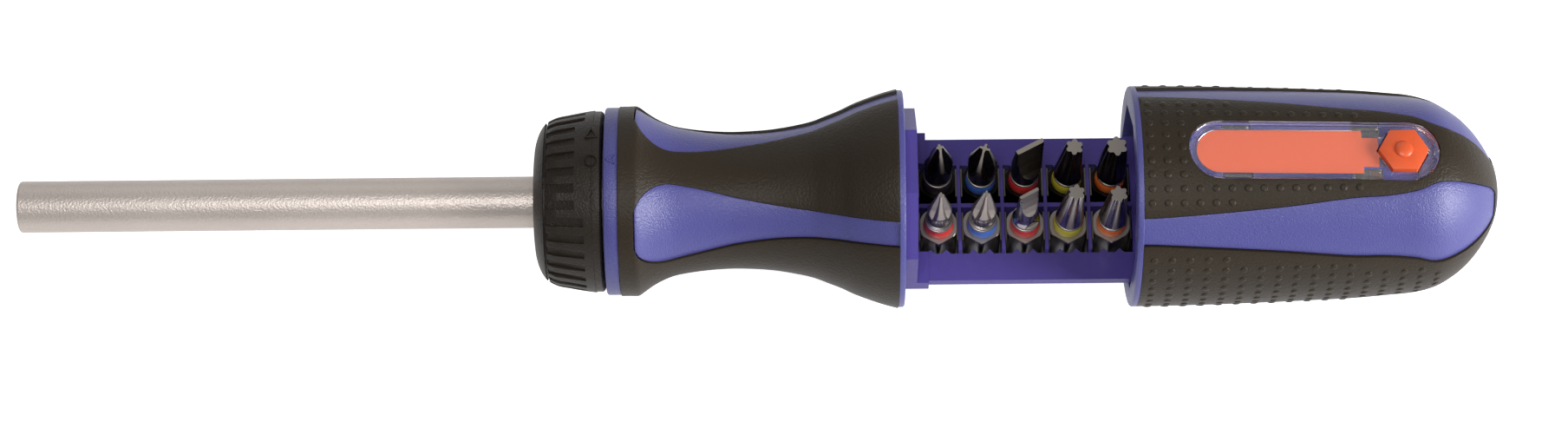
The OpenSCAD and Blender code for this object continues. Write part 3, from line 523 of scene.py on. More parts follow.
collar_wall = 2 * mm
running_gap = 0.05 * mm
collar_bore = housing_radius + running_gap
skirt_end_share = 0.997
skirt_line = [point for point in skirt_line if point[0] < band_start]
collar = turned(
    [(collar_start + collar_wall, nose_bore), (collar_start, nose_bore)]
    + nose_line + nose_groove + skirt_line
    + [(band_start, collar_radius * skirt_end_share), (band_start + running_gap, collar_radius - band_step),
       (collar_end - band_round, collar_radius - band_step),
       (collar_end, collar_radius - band_step - band_round), (collar_end, collar_bore),
       (collar_start + collar_wall, collar_bore)], sides=192)
flute_count = 32
flute_width = 1.55 * mm
flute_depth = 0.3 * mm
flute_start = collar_start + 2.4 * mm
flute_round = 0.2 * mm
collar_ease = 0.08 * mm
pad_reach = 32.3
short_flute = 5 * mm
long_flute = 6.6 * mm
for flute_length, by_the_pad in ((short_flute, True), (long_flute, False)):
    flute = plate(rounded(flute_length, flute_width, flute_round, flute_start), 0, 2 * collar_radius)
    for vertex in flute.data.vertices:
        if vertex.co.z < collar_radius:
            vertex.co.z = value_at(skirt_line, vertex.co.x) - flute_depth
    turns = [360 * (k + 0.5) / flute_count - 180 for k in range(flute_count)]
    cut_out(collar, repeated(flute, [turn(a) for a in turns if (abs(a) < pad_reach) == by_the_pad]))
eased(collar, collar_ease)
pad_angle = math.radians(pad_reach)
pad_wall = 0.9 * mm
pad_chamfer = 0.06 * mm
pad_line = [(band_start - band_round, collar_radius * 0.99), (band_start, collar_radius * 0.9985),
            (collar_end - band_round, collar_radius), (collar_end - pad_chamfer, collar_radius - band_round)]
pad_columns = 40
pad = wrapped(pad_line, lambda place, radius: [
    pad_angle * (2 * k / pad_columns - 1) for k in range(pad_columns + 1)])
applied(pad, "SOLIDIFY", thickness=pad_wall, offset=-1)
eased(pad, collar_ease, angle=40)
line_width = 0.17 * mm
sign_rise = 0.16 * mm
sign_root = 0.6 * mm


def sign(corners, place, radius, degrees=0):
    """A raised outline on a ring or collar, drawn by thin bars from corner to corner."""
    bars = []
    for a, b in zip(corners, corners[1:]):
        near, far = Vector(a), Vector(b)
        along = (far - near).normalized() * line_width / 2
        side = Vector((-along.y, along.x))
        bars.append(plate([
            (place + point.x, point.y)
            for point in (near - along - side, far + along - side, far + along + side, near - along + side)],
            radius - sign_root, radius + sign_rise))
    piece = joined(bars)
    piece.data.transform(turn(degrees))
    return piece


sign_place = collar_end - 1.75 * mm
sign_turn = 18
sign_half = 1.0 * mm
arrow_length = 2.1 * mm
circle_steps = 20
circle_turns = [math.tau * k / circle_steps for k in range(circle_steps + 1)]
left_arrow = [(-sign_half, 0), (sign_half, 0), (0, -arrow_length), (-sign_half, 0)]
right_arrow = [(x, -y) for x, y in left_arrow]
lock_circle = [(sign_half * math.sin(a), sign_half * math.cos(a)) for a in circle_turns]
signs = [sign(corners, sign_place, collar_radius, degrees)
         for corners, degrees in ((left_arrow, -sign_turn), (right_arrow, sign_turn), (lock_circle, 0))]
collar = joined([collar, pad] + signs)
collar_plastic = grained("dark_collar_plastic", (33, 27, 21), (40, 33, 26), 0.45, 0, 2600, 0.00012,
                         shine=0.28)
finished(smoothed(collar, 35), "collar_moulding", collar_plastic, "selector", "collar_plastic",
         "selector_collar")


# Handle core
# The core is one hard blue-violet moulding: ring, body, four window panels and rear rim.
# The windows show where the rubber is left open, each with a fine groove round it.
grip_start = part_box("front_grip")[0].x
grip_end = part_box("front_grip")[1].x
grip_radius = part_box("front_grip")[1].y
rim_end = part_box("handle_core")[1].x
ring_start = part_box("handle_core")[0].x
lip_radius = 16.6 * mm
waist_radius = 12 * mm
lip_end = grip_start + 3 * mm
waist_place = grip_start + 0.416 * (grip_end - grip_start)
fall_shares = [(0, 1), (0.05, 0.88), (0.1, 0.76), (0.15, 0.65), (0.24, 0.49), (0.37, 0.31), (0.51, 0.19),
               (0.66, 0.1), (0.8, 0.04)]
rise_shares = [(0, 0), (0.22, 0.045), (0.39, 0.155), (0.48, 0.24), (0.56, 0.36), (0.65, 0.5),
               (0.73, 0.65), (0.82, 0.785), (0.91, 0.905), (1, 1)]
grip_points = ([(grip_start, lip_radius), ((grip_start + lip_end) / 2, lip_radius)]
               + scaled(fall_shares, lip_end, waist_place - lip_end, lip_radius - waist_radius,
                        waist_radius)
               + scaled(rise_shares, waist_place, grip_end - waist_place, grip_radius - waist_radius,
                        waist_radius))
row_pitch = 0.6 * mm
grip_line = smooth_line(grip_points, row_pitch)
rubber_thickness = 1.6 * mm
window_drop = 0.5 * mm
window_groove = 0.25 * mm
window_start = grip_start + 2.6 * mm
window_half = 7.2 * mm
window_angles = [math.radians(a) for a in (45, 135, 225, 315)]
handle_window_shares = [
    (0, 0.45), (0.015, 0.68), (0.04, 0.86), (0.075, 0.97), (0.116, 1), (0.2, 0.9), (0.28, 0.78),
    (0.395, 0.6), (0.575, 0.417), (0.72, 0.35), (0.87, 0.333), (1, 0.333)]
handle_window = smooth_line(
    scaled(handle_window_shares, window_start, grip_end - window_start, window_half), row_pitch / 2)


def sunk(line, depth):
    """An outline of (place, radius) points, lowered towards the axis."""
    return [(place, radius - depth) for place, radius in line]


def half_angle(window, place, radius, inset=0):
    """Half the angle that a window takes at a place, less an inset."""
    return math.asin(min(0.95, max(0.02, (value_at(window, place) - inset) / radius)))


def panel(line, window, middle, columns=16):
    """One window panel: a skin that fills a window but for the groove round it."""
    def angles_at(place, radius):
        half = half_angle(window, place, radius, window_groove)
        return [middle + half * (2 * k / columns - 1) for k in range(columns + 1)]
    return wrapped(line, angles_at)


def filled(line, window, start, end, depth):
    """The four panels of a handle or cap, thick enough to stand in its body."""
    low = sunk(line, window_drop)
    rows = [point for point in low if start < point[0] < end]
    rows = [(start, value_at(low, start))] + rows + [(end, value_at(low, end))]
    piece = joined([panel(rows, window, middle) for middle in window_angles])
    applied(piece, "SOLIDIFY", thickness=depth, offset=-1)
    return eased(piece, panel_ease)


def rim(start, end, radius):
    """Outline of a hard rim: rounded at its free start, with a fine chamfer where the rubber begins."""
    way = math.copysign(1, end - start)
    fine = edge_round / 3
    return [(start, radius - edge_round), (start + way * fine, radius - fine),
            (start + way * edge_round, radius), (end - way * fine, radius), (end, radius - fine)]


panel_ease = 0.12 * mm
ring_radius = 16.4 * mm
rim_radius = 19 * mm
edge_round = 0.3 * mm
bush_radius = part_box("spindle_bush")[1].y
housing_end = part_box("ratchet_housing")[1].x
bush_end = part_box("spindle_bush")[1].x
tail_radius = 6.4 * mm
plug_start = rim_end - 8.2 * mm
plug_radius = 12.5 * mm
core = turned(
    [(ring_start, housing_radius)] + rim(ring_start, grip_start, ring_radius)
    + sunk(grip_line, rubber_thickness) + rim(rim_end, grip_end, rim_radius)[::-1]
    + [(rim_end, plug_radius), (plug_start, plug_radius), (plug_start, tail_radius),
       (bush_end, tail_radius), (bush_end, bush_radius), (housing_end, bush_radius),
       (housing_end, housing_radius)])
panels = filled(grip_line, handle_window, window_start + window_groove, grip_end, rubber_thickness)
pointer_tip = 0.5 * mm
pointer_foot = 1.9 * mm
pointer_half = 0.75 * mm
pointer_corners = [(pointer_tip, 0), (pointer_foot, pointer_half), (pointer_foot, -pointer_half),
                   (pointer_tip, 0)]
pointer = sign(pointer_corners, ring_start, ring_radius)
core = joined([core, panels, pointer])
blue_plastic = grained("blue_violet_plastic", (70, 69, 132), (77, 77, 141), 0.38, 0, 3600, 0.00009,
                       spread=0.04)
finished(smoothed(core, 35), "handle_core_moulding", blue_plastic, "handle", "blue_plastic", "handle_core")


# Front grip
# Soft black rubber, moulded over the core with four leaf-shaped windows.
# It is flush with the ring and rim, and stands a little proud of the window panels.
window_columns = 14
land_columns = 16
widest_window = math.radians(38)
row_room = 0.1 * mm


def rubber_skin(line, window, start, end):
    """A skin right round the axis, its columns closer where a window ends, its windows left open."""
    def angles_at(place, radius):
        half = min(half_angle(window, min(max(place, start), end), radius), widest_window)
        land = math.pi / 2 - 2 * half
        angles = []
        for middle in window_angles:
            angles += [middle - half + 2 * half * k / window_columns for k in range(window_columns)]
            angles += [middle + half + land * k / land_columns for k in range(land_columns)]
        return angles + [window_angles[0] - half + math.tau]

    def holes(row, column):
        inside = start - row_room <= line[row][0] and line[row + 1][0] <= end + row_room
        return inside and column % (window_columns + land_columns) < window_columns
    return wrapped(line, angles_at, holes)


def with_row_at(line, place):
    """The same outline with its nearest row moved to an exact place."""
    near = min(range(len(line)), key=lambda k: abs(line[k][0] - place))
    return line[:near] + [(place, value_at(line, place))] + line[near + 1:]


grip = rubber_skin(with_row_at(grip_line, window_start), handle_window, window_start, grip_end)
applied(grip, "SOLIDIFY", thickness=rubber_thickness, offset=-1)
grip_ease = 0.22 * mm
eased(grip, grip_ease, segments=3)
rubber = grained("black_rubber", (41, 34, 25), (49, 41, 31), 0.44, 0, 2400, 0.0001, shine=0.2, spread=0.05)
finished(smoothed(grip, 40), "front_grip_rubber", rubber, "handle", "grip_rubber", "front_grip")


# Bit rack and clips
# The rack is one moulding with an octagon neck, pressed into the handle's rear end.
# Its trough has ribs and teeth between the bits, and spring-steel clips hold each shank.
def softened(node, name, material, body, slot, width):
    """A copy of a CAD node's shape with its edges eased, in place of the node."""
    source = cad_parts[node]
    piece = source.copy()
    piece.data = source.data.copy()
    bpy.context.collection.objects.link(piece)
    bpy.context.view_layer.update()
    place = source.matrix_world.copy()
    piece.parent = None
    piece.matrix_world = place
    select_only(piece)
    bpy.ops.mesh.customdata_custom_splitnormals_clear()
    mode("EDIT", "SELECT")
    bpy.ops.mesh.remove_doubles(threshold=weld)
    bpy.ops.mesh.dissolve_limited(angle_limit=math.radians(0.5))
    mode("OBJECT")
    faced_out(piece)
    if width:
        eased(piece, width, angle=35)
    smoothed(piece, 35)
    return finished(piece, name, material, body, slot, node)


rack_ease = 0.15 * mm
rack_plastic = grained("rack_plastic", (74, 62, 134), (80, 69, 142), 0.34, 0, 1800, 0.00003, shine=0.25,
                       spread=0.05)
spring_steel = grained("spring_steel", (104, 99, 94), (118, 113, 108), 0.3, 1, 3000, 0.00002)
softened("bit_rack", "bit_rack_moulding", rack_plastic, "handle", "rack_plastic", rack_ease)
dressed(spring_steel, "bit_clips")


# Bits
# Ten insert bits: the near row is bright steel, the far row black oxide with ground tips.
# Each is turned and milled from a hexagon bar, and a coloured ring in its groove marks its kind.
def bit_steel(name, skin, dull_and_shade, ground, rough_skin, rough_ground):
    """A bit's steel, from its own skin over a middle tone to bare matte steel where it is ground; the middle
    tone is dull bar stock on the black bits and painted shade on the bright ones.
    """
    material, tree, shader = start_material(name, Metallic=1)
    grain_skin(tree, shader, "Height", 0.00001, 6000)
    share = tree.nodes.new("ShaderNodeAttribute")
    share.attribute_name = "ground"
    tint = tree.nodes.new("ShaderNodeValToRGB")
    tint.color_ramp.elements[0].color = linear(*skin)
    tint.color_ramp.elements[1].color = linear(*ground)
    tint.color_ramp.elements.new(0.5).color = linear(*dull_and_shade)
    link(tree, (share.outputs["Fac"], tint.inputs["Fac"]),
         (tint.outputs["Color"], shader.inputs["Base Color"]))
    rough_between(tree, shader, share.outputs["Fac"], rough_skin, rough_ground)
    return material


flute_half = math.radians(52)


def crossed(height, angle, radius, valley):
    """Four V flutes between the wings of a cross tip, and where its turned skin is whole."""
    off = abs(angle % (math.pi / 2) - math.pi / 4)
    cut = min(radius, value_at(valley, height) * math.sin(flute_half) / math.sin(flute_half - off))
    return cut, cut == radius


def starred(height, angle, radius, depth):
    """Six flutes round a star tip."""
    groove = (0.5 + 0.5 * math.cos(6 * angle)) ** 1.4
    return radius * (1 - value_at(depth, height) * groove), groove < 0.45


def bladed(height, angle, radius, half_thickness):
    """The two hollow-ground faces of a flat blade."""
    cut = min(radius, value_at(half_thickness, height) / max(0.02, abs(math.cos(angle))))
    return cut, cut == radius


bit_columns = 96
bit_rows = 48
bit_flats = 6.35
bit_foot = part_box("front_bit_1")[0].z / mm
bit_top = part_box("front_bit_1")[1].z / mm
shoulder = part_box("red_bit_bands")[0].z / mm
band_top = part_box("red_bit_bands")[1].z / mm
corner_radius = 3.67
foot_radius = 2.9
groove_floor = 2.3
bead_radius = 2.5
bead_gap_radius = 2.15
neck_bead_radius = 2.38
neck_start = band_top + 1.15
tip_round = 0.05
upright = Matrix.Rotation(-math.pi / 2, 4, "Y")
lean_height = -1 * mm
tip_leans = {
    "front_bit_1": (0, -1.05), "front_bit_2": (0.25, -0.9), "front_bit_3": (0, -0.9),
    "front_bit_4": (0.55, -0.8), "front_bit_5": (0.25, -1.2), "back_bit_1": (0, -0.45),
    "back_bit_2": (0.2, -0.7), "back_bit_3": (0.45, -0.4), "back_bit_4": (0.55, -0.55),
    "back_bit_5": (0.3, -0.5)}


def seat(node):
    """A bit's place in the rack, with the small lean that its clip gives it."""
    middle = (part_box(node)[0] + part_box(node)[1]) / 2
    along, across = tip_leans[node]
    rise = bit_top - lean_height / mm
    return (Matrix.Translation((middle.x, middle.y, lean_height)) @ Matrix.Rotation(along / rise, 4, "Y")
            @ Matrix.Rotation(-across / rise, 4, "X") @ Matrix.Translation((0, 0, -lean_height)))


def milled(node, kind, cuts, cone, degrees, ground, bright):
    """A bit: hexagon shank, ring groove, two turned beads, and a tip cut by its kind's flutes."""
    tip_start = bit_top - tip_round
    heights = [neck_start + (tip_start - neck_start) * k / bit_rows for k in range(bit_rows + 1)]
    outline = [(bit_foot, 0), (bit_foot, foot_radius), (bit_foot + 0.7, corner_radius),
               (shoulder - 0.5, corner_radius), (shoulder - 0.1, corner_radius - 0.25),
               (shoulder, corner_radius - 0.37), (shoulder, groove_floor), (band_top, groove_floor),
               (band_top, bead_radius - 0.08), (band_top + 0.08, bead_radius),
               (band_top + 0.4, bead_radius - 0.08), (band_top + 0.48, bead_gap_radius),
               (band_top + 0.72, bead_gap_radius), (band_top + 0.78, neck_bead_radius),
               (band_top + 1.05, neck_bead_radius)] + [(height, value_at(cone, height)) for height in heights]
    outline += [(bit_top, cone[-1][1] - tip_round), (bit_top, 0)]
    piece = wrapped([(height * mm, radius * mm) for height, radius in outline],
                    lambda place, radius: [math.tau * k / bit_columns for k in range(bit_columns + 1)])
    marks = piece.data.attributes.new("ground", "FLOAT", "POINT")
    for vertex, mark in zip(piece.data.vertices, marks.data):
        height, radius = vertex.co.x / mm, math.hypot(vertex.co.y, vertex.co.z) / mm
        angle = math.atan2(vertex.co.y, vertex.co.z)
        if height < shoulder + 0.01:
            # On a bright bit the shank below the shoulder takes the middle tone, painted shade where the rack
            # hides it, and the shoulder's top takes the ground tone.
            mark.value = bright * (0.5 + 0.5 * (height > shoulder - 0.3))
            flat = abs((angle + math.pi / 6) % (math.pi / 3) - math.pi / 6)
            cut = min(radius, bit_flats / 2 / math.cos(flat))
        elif height >= neck_start:
            cut, whole = kind(height, angle - math.radians(degrees), radius, cuts)
            mark.value = 1 if height > bit_top - 0.02 else ground(height, whole)
        else:
            cut = radius
            # The beads take a tone near the ground one; the gap between them takes the darker middle tone,
            # which on a bright bit is painted shade in the gap.
            mark.value = 0.9 if radius > 2.32 else 0.4
        if radius:
            vertex.co.y *= cut / radius
            vertex.co.z *= cut / radius
    piece.data.transform(seat(node) @ upright)
    return smoothed(piece, 32)


fine_valley = [(3.9, 2.2), (5, 1.5), (6.5, 1), (9, 0.6), (12.3, 0.27)]
broad_valley = [(3, 2.7), (4.2, 1.9), (6, 1.25), (9, 0.75), (12.3, 0.36)]
fine_cross = [(1.4, 1.95), (3.5, 2), (5.35, 2.15), (12.19, 0.5)]
broad_cross = [(1.4, 2.3), (3.5, 2.4), (6.2, 2.5), (12.19, 0.62)]
star_depth = [(1.4, 0.02), (2.6, 0.1), (12.25, 0.27)]
bits = {
    "front_bit_1": (crossed, fine_valley, fine_cross, -4, lambda height, whole: height > 5.3 or not whole),
    "front_bit_2": (crossed, fine_valley, [(1.4, 2), (3.5, 2.05), (5.1, 2.2), (12.19, 0.62)], 3,
                    lambda height, whole: height > 5.1 or not whole),
    "front_bit_3": (bladed, [(5.6, 1.9), (6.4, 1.35), (8, 0.85), (10, 0.5), (12.25, 0.28)],
                    [(1.4, 2.35), (2.1, 2), (3, 1.82), (12.19, 1.85)], -119,
                    lambda height, whole: 0.75 * (not whole)),
    "front_bit_4": (starred, star_depth, [(1.4, 2.5), (12.19, 1.5)], 4, lambda height, whole: 0.9 * whole),
    "front_bit_5": (starred, star_depth, [(1.4, 2.5), (12.19, 1.55)], -6, lambda height, whole: 0.9 * whole),
    "back_bit_1": (crossed, broad_valley, broad_cross, -12,
                   lambda height, whole: whole * max(0, height - 6) / 5),
    "back_bit_2": (crossed, broad_valley, [(1.4, 2.4), (4, 2.5), (7, 2.55), (12.19, 0.9)], 20,
                   lambda height, whole: whole * max(0, height - 5) / 5),
    "back_bit_3": (bladed, [(3.6, 2.7), (5, 1.75), (7.5, 1.05), (10, 0.65), (12.25, 0.42)],
                   [(1.4, 2.5), (3, 2.6), (12.19, 2.68)], -119,
                   lambda height, whole: 0.28 * (not whole)),
    "back_bit_4": (starred, star_depth, [(1.4, 2.6), (12.19, 1.55)], 4, lambda height, whole: 0),
    "back_bit_5": (starred, star_depth, [(1.4, 2.6), (8, 2.3), (12.19, 1.85)], -3, lambda height, whole: 0)}
# On the bright bits the middle tone is painted shade, darker than their steel; on the black bits it is dull
# bar stock.
bright_bit = bit_steel("bright_bit_steel", (150, 146, 150), (88, 83, 82), (158, 150, 143), 0.16, 0.42)
black_bit = bit_steel("black_bit_steel", (36, 33, 30), (92, 87, 80), (166, 158, 150), 0.3, 0.45)
for node, (kind, cuts, cone, degrees, ground) in bits.items():
    row, number = node.split("_bit_")
    name, steel, slot = ("bright", bright_bit, "bit_steel") if row == "front" else (
        "black", black_bit, "black_bit_steel")
    bit = milled(node, kind, cuts, cone, degrees, ground, row == "front")
    finished(bit, f"{name}_bit_{number}", steel, "handle", slot, node)
band_radius = 2.66
band_colours = {
    "red_bit_bands": ((200, 44, 38), ("front_bit_1", "front_bit_3", "back_bit_3")),
    "blue_bit_bands": ((58, 104, 190), ("front_bit_2", "back_bit_2")),
    "yellow_bit_bands": ((188, 178, 40), ("front_bit_4", "back_bit_4")),
    "orange_bit_bands": ((224, 106, 34), ("front_bit_5", "back_bit_5")),
    "black_bit_band": ((36, 32, 34), ("back_bit_1",))}
for node, (colour, bits_with_it) in band_colours.items():
    outline = [(shoulder, groove_floor + 0.02), (shoulder, band_radius - 0.06),
               (shoulder + 0.1, band_radius), (band_top - 0.15, bead_radius),
               (band_top, bead_radius - 0.08), (band_top, groove_floor + 0.02)]
    band = turned([(height * mm, radius * mm) for height, radius in outline], sides=64)
    bands = repeated(band, [seat(name) @ upright for name in bits_with_it])
    slot = node.replace("_bit_", "_").replace("bands", "band")
    plastic = grained(slot, colour, colour, 0.35, 0, 3000, 0.00002)
    finished(smoothed(bands, 40), slot + "_rings", plastic, "handle", slot, node)


# Cap shell
# The cap is a second hard moulding that slides over the rack, open in the photograph.
# It has a blue rim at its mouth, an octagon bore, window panels and the label's seat.
cap_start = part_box("cap_shell")[0].x
cap_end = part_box("cap_grip")[1].x
cap_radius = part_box("cap_shell")[1].y
cap_length = cap_end - cap_start
rim_length = 1.1 * mm
cap_shares = [(0, 1), (0.1, 0.997), (0.22, 0.99), (0.32, 0.98), (0.42, 0.969), (0.51, 0.957), (0.61, 0.942),
              (0.7, 0.918), (0.76, 0.9), (0.8, 0.876), (0.828, 0.845), (0.857, 0.793), (0.894, 0.705),
              (0.932, 0.575), (0.969, 0.389), (0.988, 0.238), (0.997, 0.09)]
cap_line = smooth_line(scaled(cap_shares, cap_start, cap_length, cap_radius) + [(cap_end, 0)], row_pitch)
cap_line[-1] = (cap_end, 0)
cap_rubber = 1.2 * mm
cap_window_start = cap_start + rim_length
cap_window_shares = [(0, 0.35), (0.04, 0.36), (0.362, 0.56), (0.575, 0.745), (0.654, 0.765), (0.742, 0.858),
                     (0.803, 1), (0.879, 0.867), (0.953, 0.54), (0.974, 0.35), (0.982, 0.18)]
cap_window_half = 7.4 * mm
cap_window_end = cap_window_start + 0.978 * (cap_length - rim_length)
cap_window = smooth_line(
    scaled(cap_window_shares, cap_window_start, cap_length - rim_length, cap_window_half), row_pitch / 2)


def inner(line, depth):
    """A closed outline drawn in by a depth: smaller, and shorter at its end."""
    share = (cap_radius - depth) / cap_radius
    return [(cap_start + (place - cap_start) * (cap_length - depth) / cap_length, radius * share)
            for place, radius in line]


cap_body = [point for point in inner(cap_line, cap_rubber) if point[0] > cap_window_start]
shell = turned([(cap_start, 0)] + rim(cap_start, cap_window_start, cap_radius) + cap_body)


def octagon_bar(across, start, end):
    """An octagon bar along the tool, flat side up, of a size across its corners."""
    piece = bar(8, across / 2, start, end)
    piece.data.transform(turn(22.5))
    return piece


def box_between(one, other):
    """A block from one corner to the other."""
    one, other = Vector(one), Vector(other)
    bpy.ops.mesh.primitive_cube_add(size=1, location=(one + other) / 2)
    block = bpy.context.object
    block.scale = [abs(span) for span in other - one]
    bpy.ops.object.transform_apply()
    return block


def stadium(long, wide, start=0, steps=24):
    """Outline of a bar with round ends, from a start along the tool, its near end first."""
    radius = wide / 2
    arc = [(radius * math.sin(math.pi * k / steps), radius * math.cos(math.pi * k / steps))
           for k in range(steps + 1)]
    return ([(start + radius - x, y) for x, y in arc]
            + [(start + long - radius + x, -y) for x, y in arc])


def cover_outline(inset=0):
    """Outline of the label's clear cover, drawn in by an inset."""
    return stadium(cover_length - 2 * inset, cover_width - 2 * inset, inset)


def hexagon_post(across, low, high):
    """A hexagon post at the release button, corners along the tool."""
    radius = across / 2 / math.cos(math.pi / 6)
    return plate([(button_middle + radius * math.cos(math.pi * k / 3), radius * math.sin(math.pi * k / 3))
                  for k in range(6)], low, high)


def in_label(piece):
    """A piece drawn in the label window's own frame, moved to its place on the cap."""
    piece.data.transform(label_place)
    return piece


label_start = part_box("label_cover")[0].x
label_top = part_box("label_cover")[1].z
label_tilt = math.radians(2.35)
label_place = Matrix.Translation((label_start, 0, label_top)) @ Matrix.Rotation(label_tilt, 4, "Y")
cover_length = 43 * mm
cover_width = 10.8 * mm
cover_thickness = 1.6 * mm
clip_length = 5.8 * mm
clip_reach = 0.6 * mm
clip_places = [share * cover_length for share in (0.192, 0.712)]
button_middle = 240.11 * mm
button_flats = 7.5 * mm
button_room = 0.6 * mm
bore_top = 14.09 * mm
boss_depth = 4 * mm
boss_foot = -cover_thickness - boss_depth
clip_half = cover_width / 2 + clip_reach
cut_out(shell, in_label(plate(cover_outline(), boss_foot, -cover_thickness)), "UNION")
for place in clip_places:
    block = box_between((place - clip_length / 2, -clip_half, boss_foot),
                        (place + clip_length / 2, clip_half, -cover_thickness))
    cut_out(shell, in_label(block), "UNION")
cut_out(shell, in_label(plate(cover_outline(), -cover_thickness, cover_width)))
rack_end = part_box("bit_rack")[1].x
mouth_end = rack_end + 34.39 * mm
bore_end = rack_end + 40.28 * mm
mouth_across = 32.3 * mm
bore_across = 30.5 * mm
pocket_half = 5.6 * mm
pocket_floor = 7 * mm
pocket_end = 245.41 * mm
overrun = 1 * mm
cut_out(shell, octagon_bar(mouth_across, cap_start - overrun, mouth_end))
cut_out(shell, octagon_bar(bore_across, cap_start, bore_end))
cut_out(shell, box_between((bore_end - overrun, -pocket_half, pocket_floor),
                           (pocket_end, pocket_half, bore_top - running_gap)))
cut_out(shell, hexagon_post(button_flats + button_room, bore_top - 1.5 * overrun, cap_radius + overrun))
leg_length = 4.6 * mm
leg_outer = 5.2 * mm
leg_depth = 1.6 * mm
leg_places = [(place, side, low * mm) for place, low in zip(clip_places, (4.4, 3.2)) for side in (-1, 1)]
end_room = 0.3 * mm
inner_room = 0.15 * mm
outer_room = 0.1 * mm
slot_depth = 2.2 * mm
for place, side, low in leg_places:
    cut_out(shell, in_label(box_between(
        (place - leg_length / 2 - end_room, side * (low - inner_room), -cover_thickness - slot_depth),
        (place + leg_length / 2 + end_room, side * (leg_outer + outer_room), 0))))
eased(shell, panel_ease)
panel_overlap = 0.2 * mm
cap_panels = filled(cap_line, cap_window, cap_window_start - panel_overlap, cap_window_end, cap_rubber)
shell = joined([shell, cap_panels])
finished(smoothed(shell, 35), "cap_moulding", blue_plastic, "cap", "blue_plastic", "cap_shell")


# Cap grip
# Black rubber moulded over the cap, with windows like the handle's and rows of round bumps.
# It leaves a stadium-shaped opening for the label's clear cover and its snap clips.
pole_radius = 1.6 * mm
cap_skin = [point for point in cap_line if point[0] > cap_window_start + panel_overlap]
cap_skin = with_row_at([(cap_window_start, value_at(cap_line, cap_window_start))] + cap_skin,
                       cap_window_end)
cap_skin = [point for point in cap_skin if point[1] > pole_radius] + [
    (value_at([(r, x) for x, r in reversed(cap_line)], pole_radius), pole_radius)]
cover = rubber_skin(cap_skin, cap_window, cap_window_start, cap_window_end)
mode("EDIT", "DESELECT")
mode("OBJECT")
for vertex in cover.data.vertices:
    vertex.select = vertex.co.x > cap_skin[-1][0] - weld
mode("EDIT")
bpy.ops.mesh.edge_face_add()
mode("OBJECT")
applied(cover, "SOLIDIFY", thickness=cap_rubber, offset=-1)
opening_room = 0.2 * mm
cut_out(cover, in_label(plate(cover_outline(-opening_room), -boss_depth, 2 * boss_depth)))
cap_ease = 0.2 * mm
eased(cover, cap_ease, segments=3)
bump_radius = 0.66 * mm
bump_height = 0.18 * mm
bpy.ops.mesh.primitive_uv_sphere_add(segments=12, ring_count=8, radius=1)
bump = bpy.context.object
mode("EDIT", "SELECT")
bpy.ops.mesh.bisect(plane_co=(0, 0, -0.05), plane_no=(0, 0, 1), clear_inner=True, use_fill=False)
mode("OBJECT")
bump.data.transform(Matrix.Diagonal((bump_radius, bump_radius, bump_height, 1)))
label_land = ((3, 3, 3, 14, 6), 196.65 * mm, 2.73 * mm, 7.4)
side_land = ((17, 17, 16, 12, 5), 197.2 * mm, 3.11 * mm, 7.2)
slope_reach = 0.5 * mm
bump_places = []
for land in (0, 90, 180, 270):
    rows, start, along, across = side_land if land else label_land
    for row in range(1 - len(rows), len(rows)):
        for k in range(rows[abs(row)]):
            place = start + along * k
            radius = value_at(cap_line, place)
            slope = math.atan2(radius - value_at(cap_line, place + slope_reach), slope_reach)
            bump_places.append(turn(land + across * row) @ Matrix.Translation((place, 0, radius))
                               @ Matrix.Rotation(slope, 4, "Y"))
cover = joined([cover, repeated(bump, bump_places)])
finished(smoothed(cover, 40), "cap_grip_rubber", rubber, "cap", "grip_rubber", "cap_grip")


# Label and release button
# An orange strip lies in the cap under a clear cover that four snap clips hold.
# The orange hexagon button stands in the cover's end, on a coil spring, and frees the cap's latch.
orange_plastic = grained("orange_plastic", (212, 84, 41), (218, 92, 48), 0.38, 0, 2000, 0.00003)
button_ease = 0.18 * mm
button = softened("release_button", "release_button_moulding", orange_plastic, "release_button",
                  "orange_plastic", button_ease)
stud_radius = 1.6 * mm
stud_height = 0.62 * mm
stud_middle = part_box("release_button")[1].z - 0.5 * mm
bpy.ops.mesh.primitive_uv_sphere_add(segments=48, ring_count=24, radius=1)
dome = bpy.context.object
dome.data.transform(Matrix.Translation((button_middle, 0, stud_middle))
                    @ Matrix.Diagonal((stud_radius, stud_radius, stud_height, 1)))
cut_out(button, dome, "UNION")
smoothed(button, 35)
softened("label_strip", "label_strip_plain", orange_plastic, "cap", "orange_plastic", 0)
dressed(spring_steel, "release_spring")
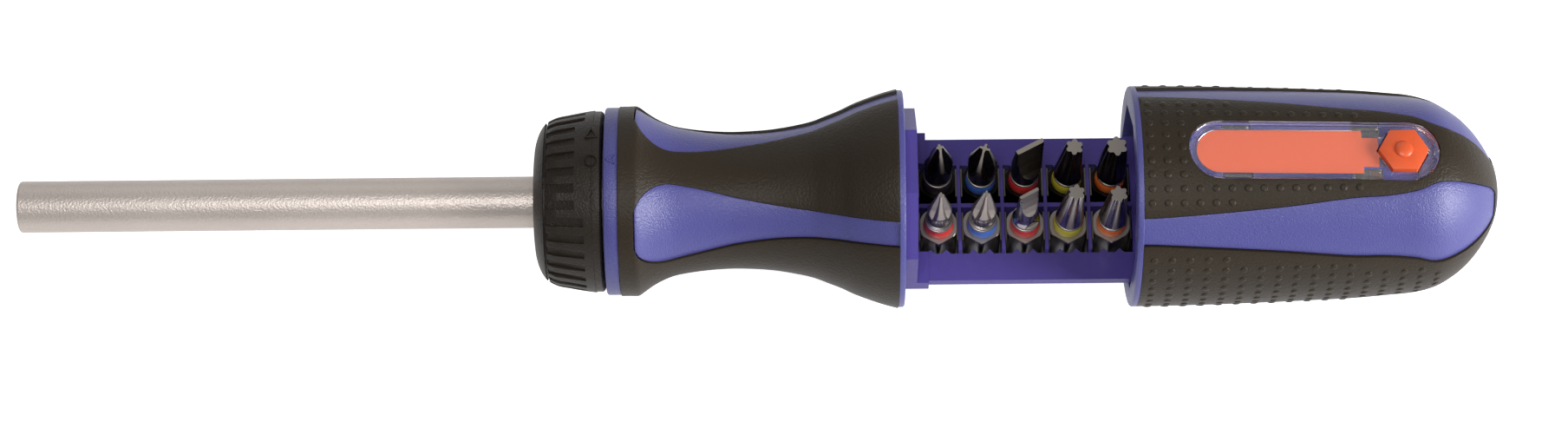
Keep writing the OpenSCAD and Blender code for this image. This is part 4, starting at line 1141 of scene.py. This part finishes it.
clear, tree, shader = start_material("clear_plastic", Base_Color=linear(250, 248, 247), Roughness=0.05,
                                     Transmission_Weight=0.985, IOR=1.45)
grain_skin(tree, shader, "Clouds", 0.00002)
through = tree.nodes.new("ShaderNodeBsdfTransparent")
rays = tree.nodes.new("ShaderNodeLightPath")
dim = tree.nodes.new("ShaderNodeMath")
dim.operation = "MAXIMUM"
pick = tree.nodes.new("ShaderNodeMixShader")
link(tree, (rays.outputs["Is Shadow Ray"], dim.inputs[0]), (rays.outputs["Is Diffuse Ray"], dim.inputs[1]),
     (dim.outputs[0], pick.inputs["Fac"]), (shader.outputs[0], pick.inputs[1]),
     (through.outputs[0], pick.inputs[2]),
     (pick.outputs[0], tree.nodes["Material Output"].inputs["Surface"]))
clear_cover = plate(cover_outline(), -cover_thickness, 0)
bead = 0.85 * mm
bead_height = 0.25 * mm
cut_out(clear_cover, plate(cover_outline(bead), -bead_height, overrun))
eased(clear_cover, button_ease)
strip_room = 0.1 * mm
strip_height = 0.5 * mm
strip_start = 1.2 * mm
strip_end = 29.8 * mm + strip_room
strip_half = 4.2 * mm
neck_end = 37 * mm
neck_half = 2.85 * mm
near_end = stadium(strip_end, 2 * strip_half, strip_start - strip_room)
near_end = near_end[:len(near_end) // 2]
cut_out(clear_cover, plate(near_end + [
    (strip_end, -strip_half), (strip_end, -neck_half), (neck_end, -neck_half), (neck_end, neck_half),
    (strip_end, neck_half), (strip_end, strip_half)],
    -cover_thickness - overrun, strip_height - cover_thickness))
in_label(clear_cover)
cut_out(clear_cover, hexagon_post(button_flats + button_room, bore_top, cap_radius + overrun))
legs = []
leg_root = 0.2 * mm
for place, side, low in leg_places:
    leg = box_between((place - leg_length / 2, side * low, -cover_thickness - leg_depth),
                      (place + leg_length / 2, side * leg_outer, -cover_thickness + leg_root))
    legs.append(in_label(leg))
clear_cover = faced_out(joined([clear_cover] + legs))
finished(smoothed(clear_cover, 30), "label_cover_clear", clear, "cap", "clear_plastic", "label_cover")
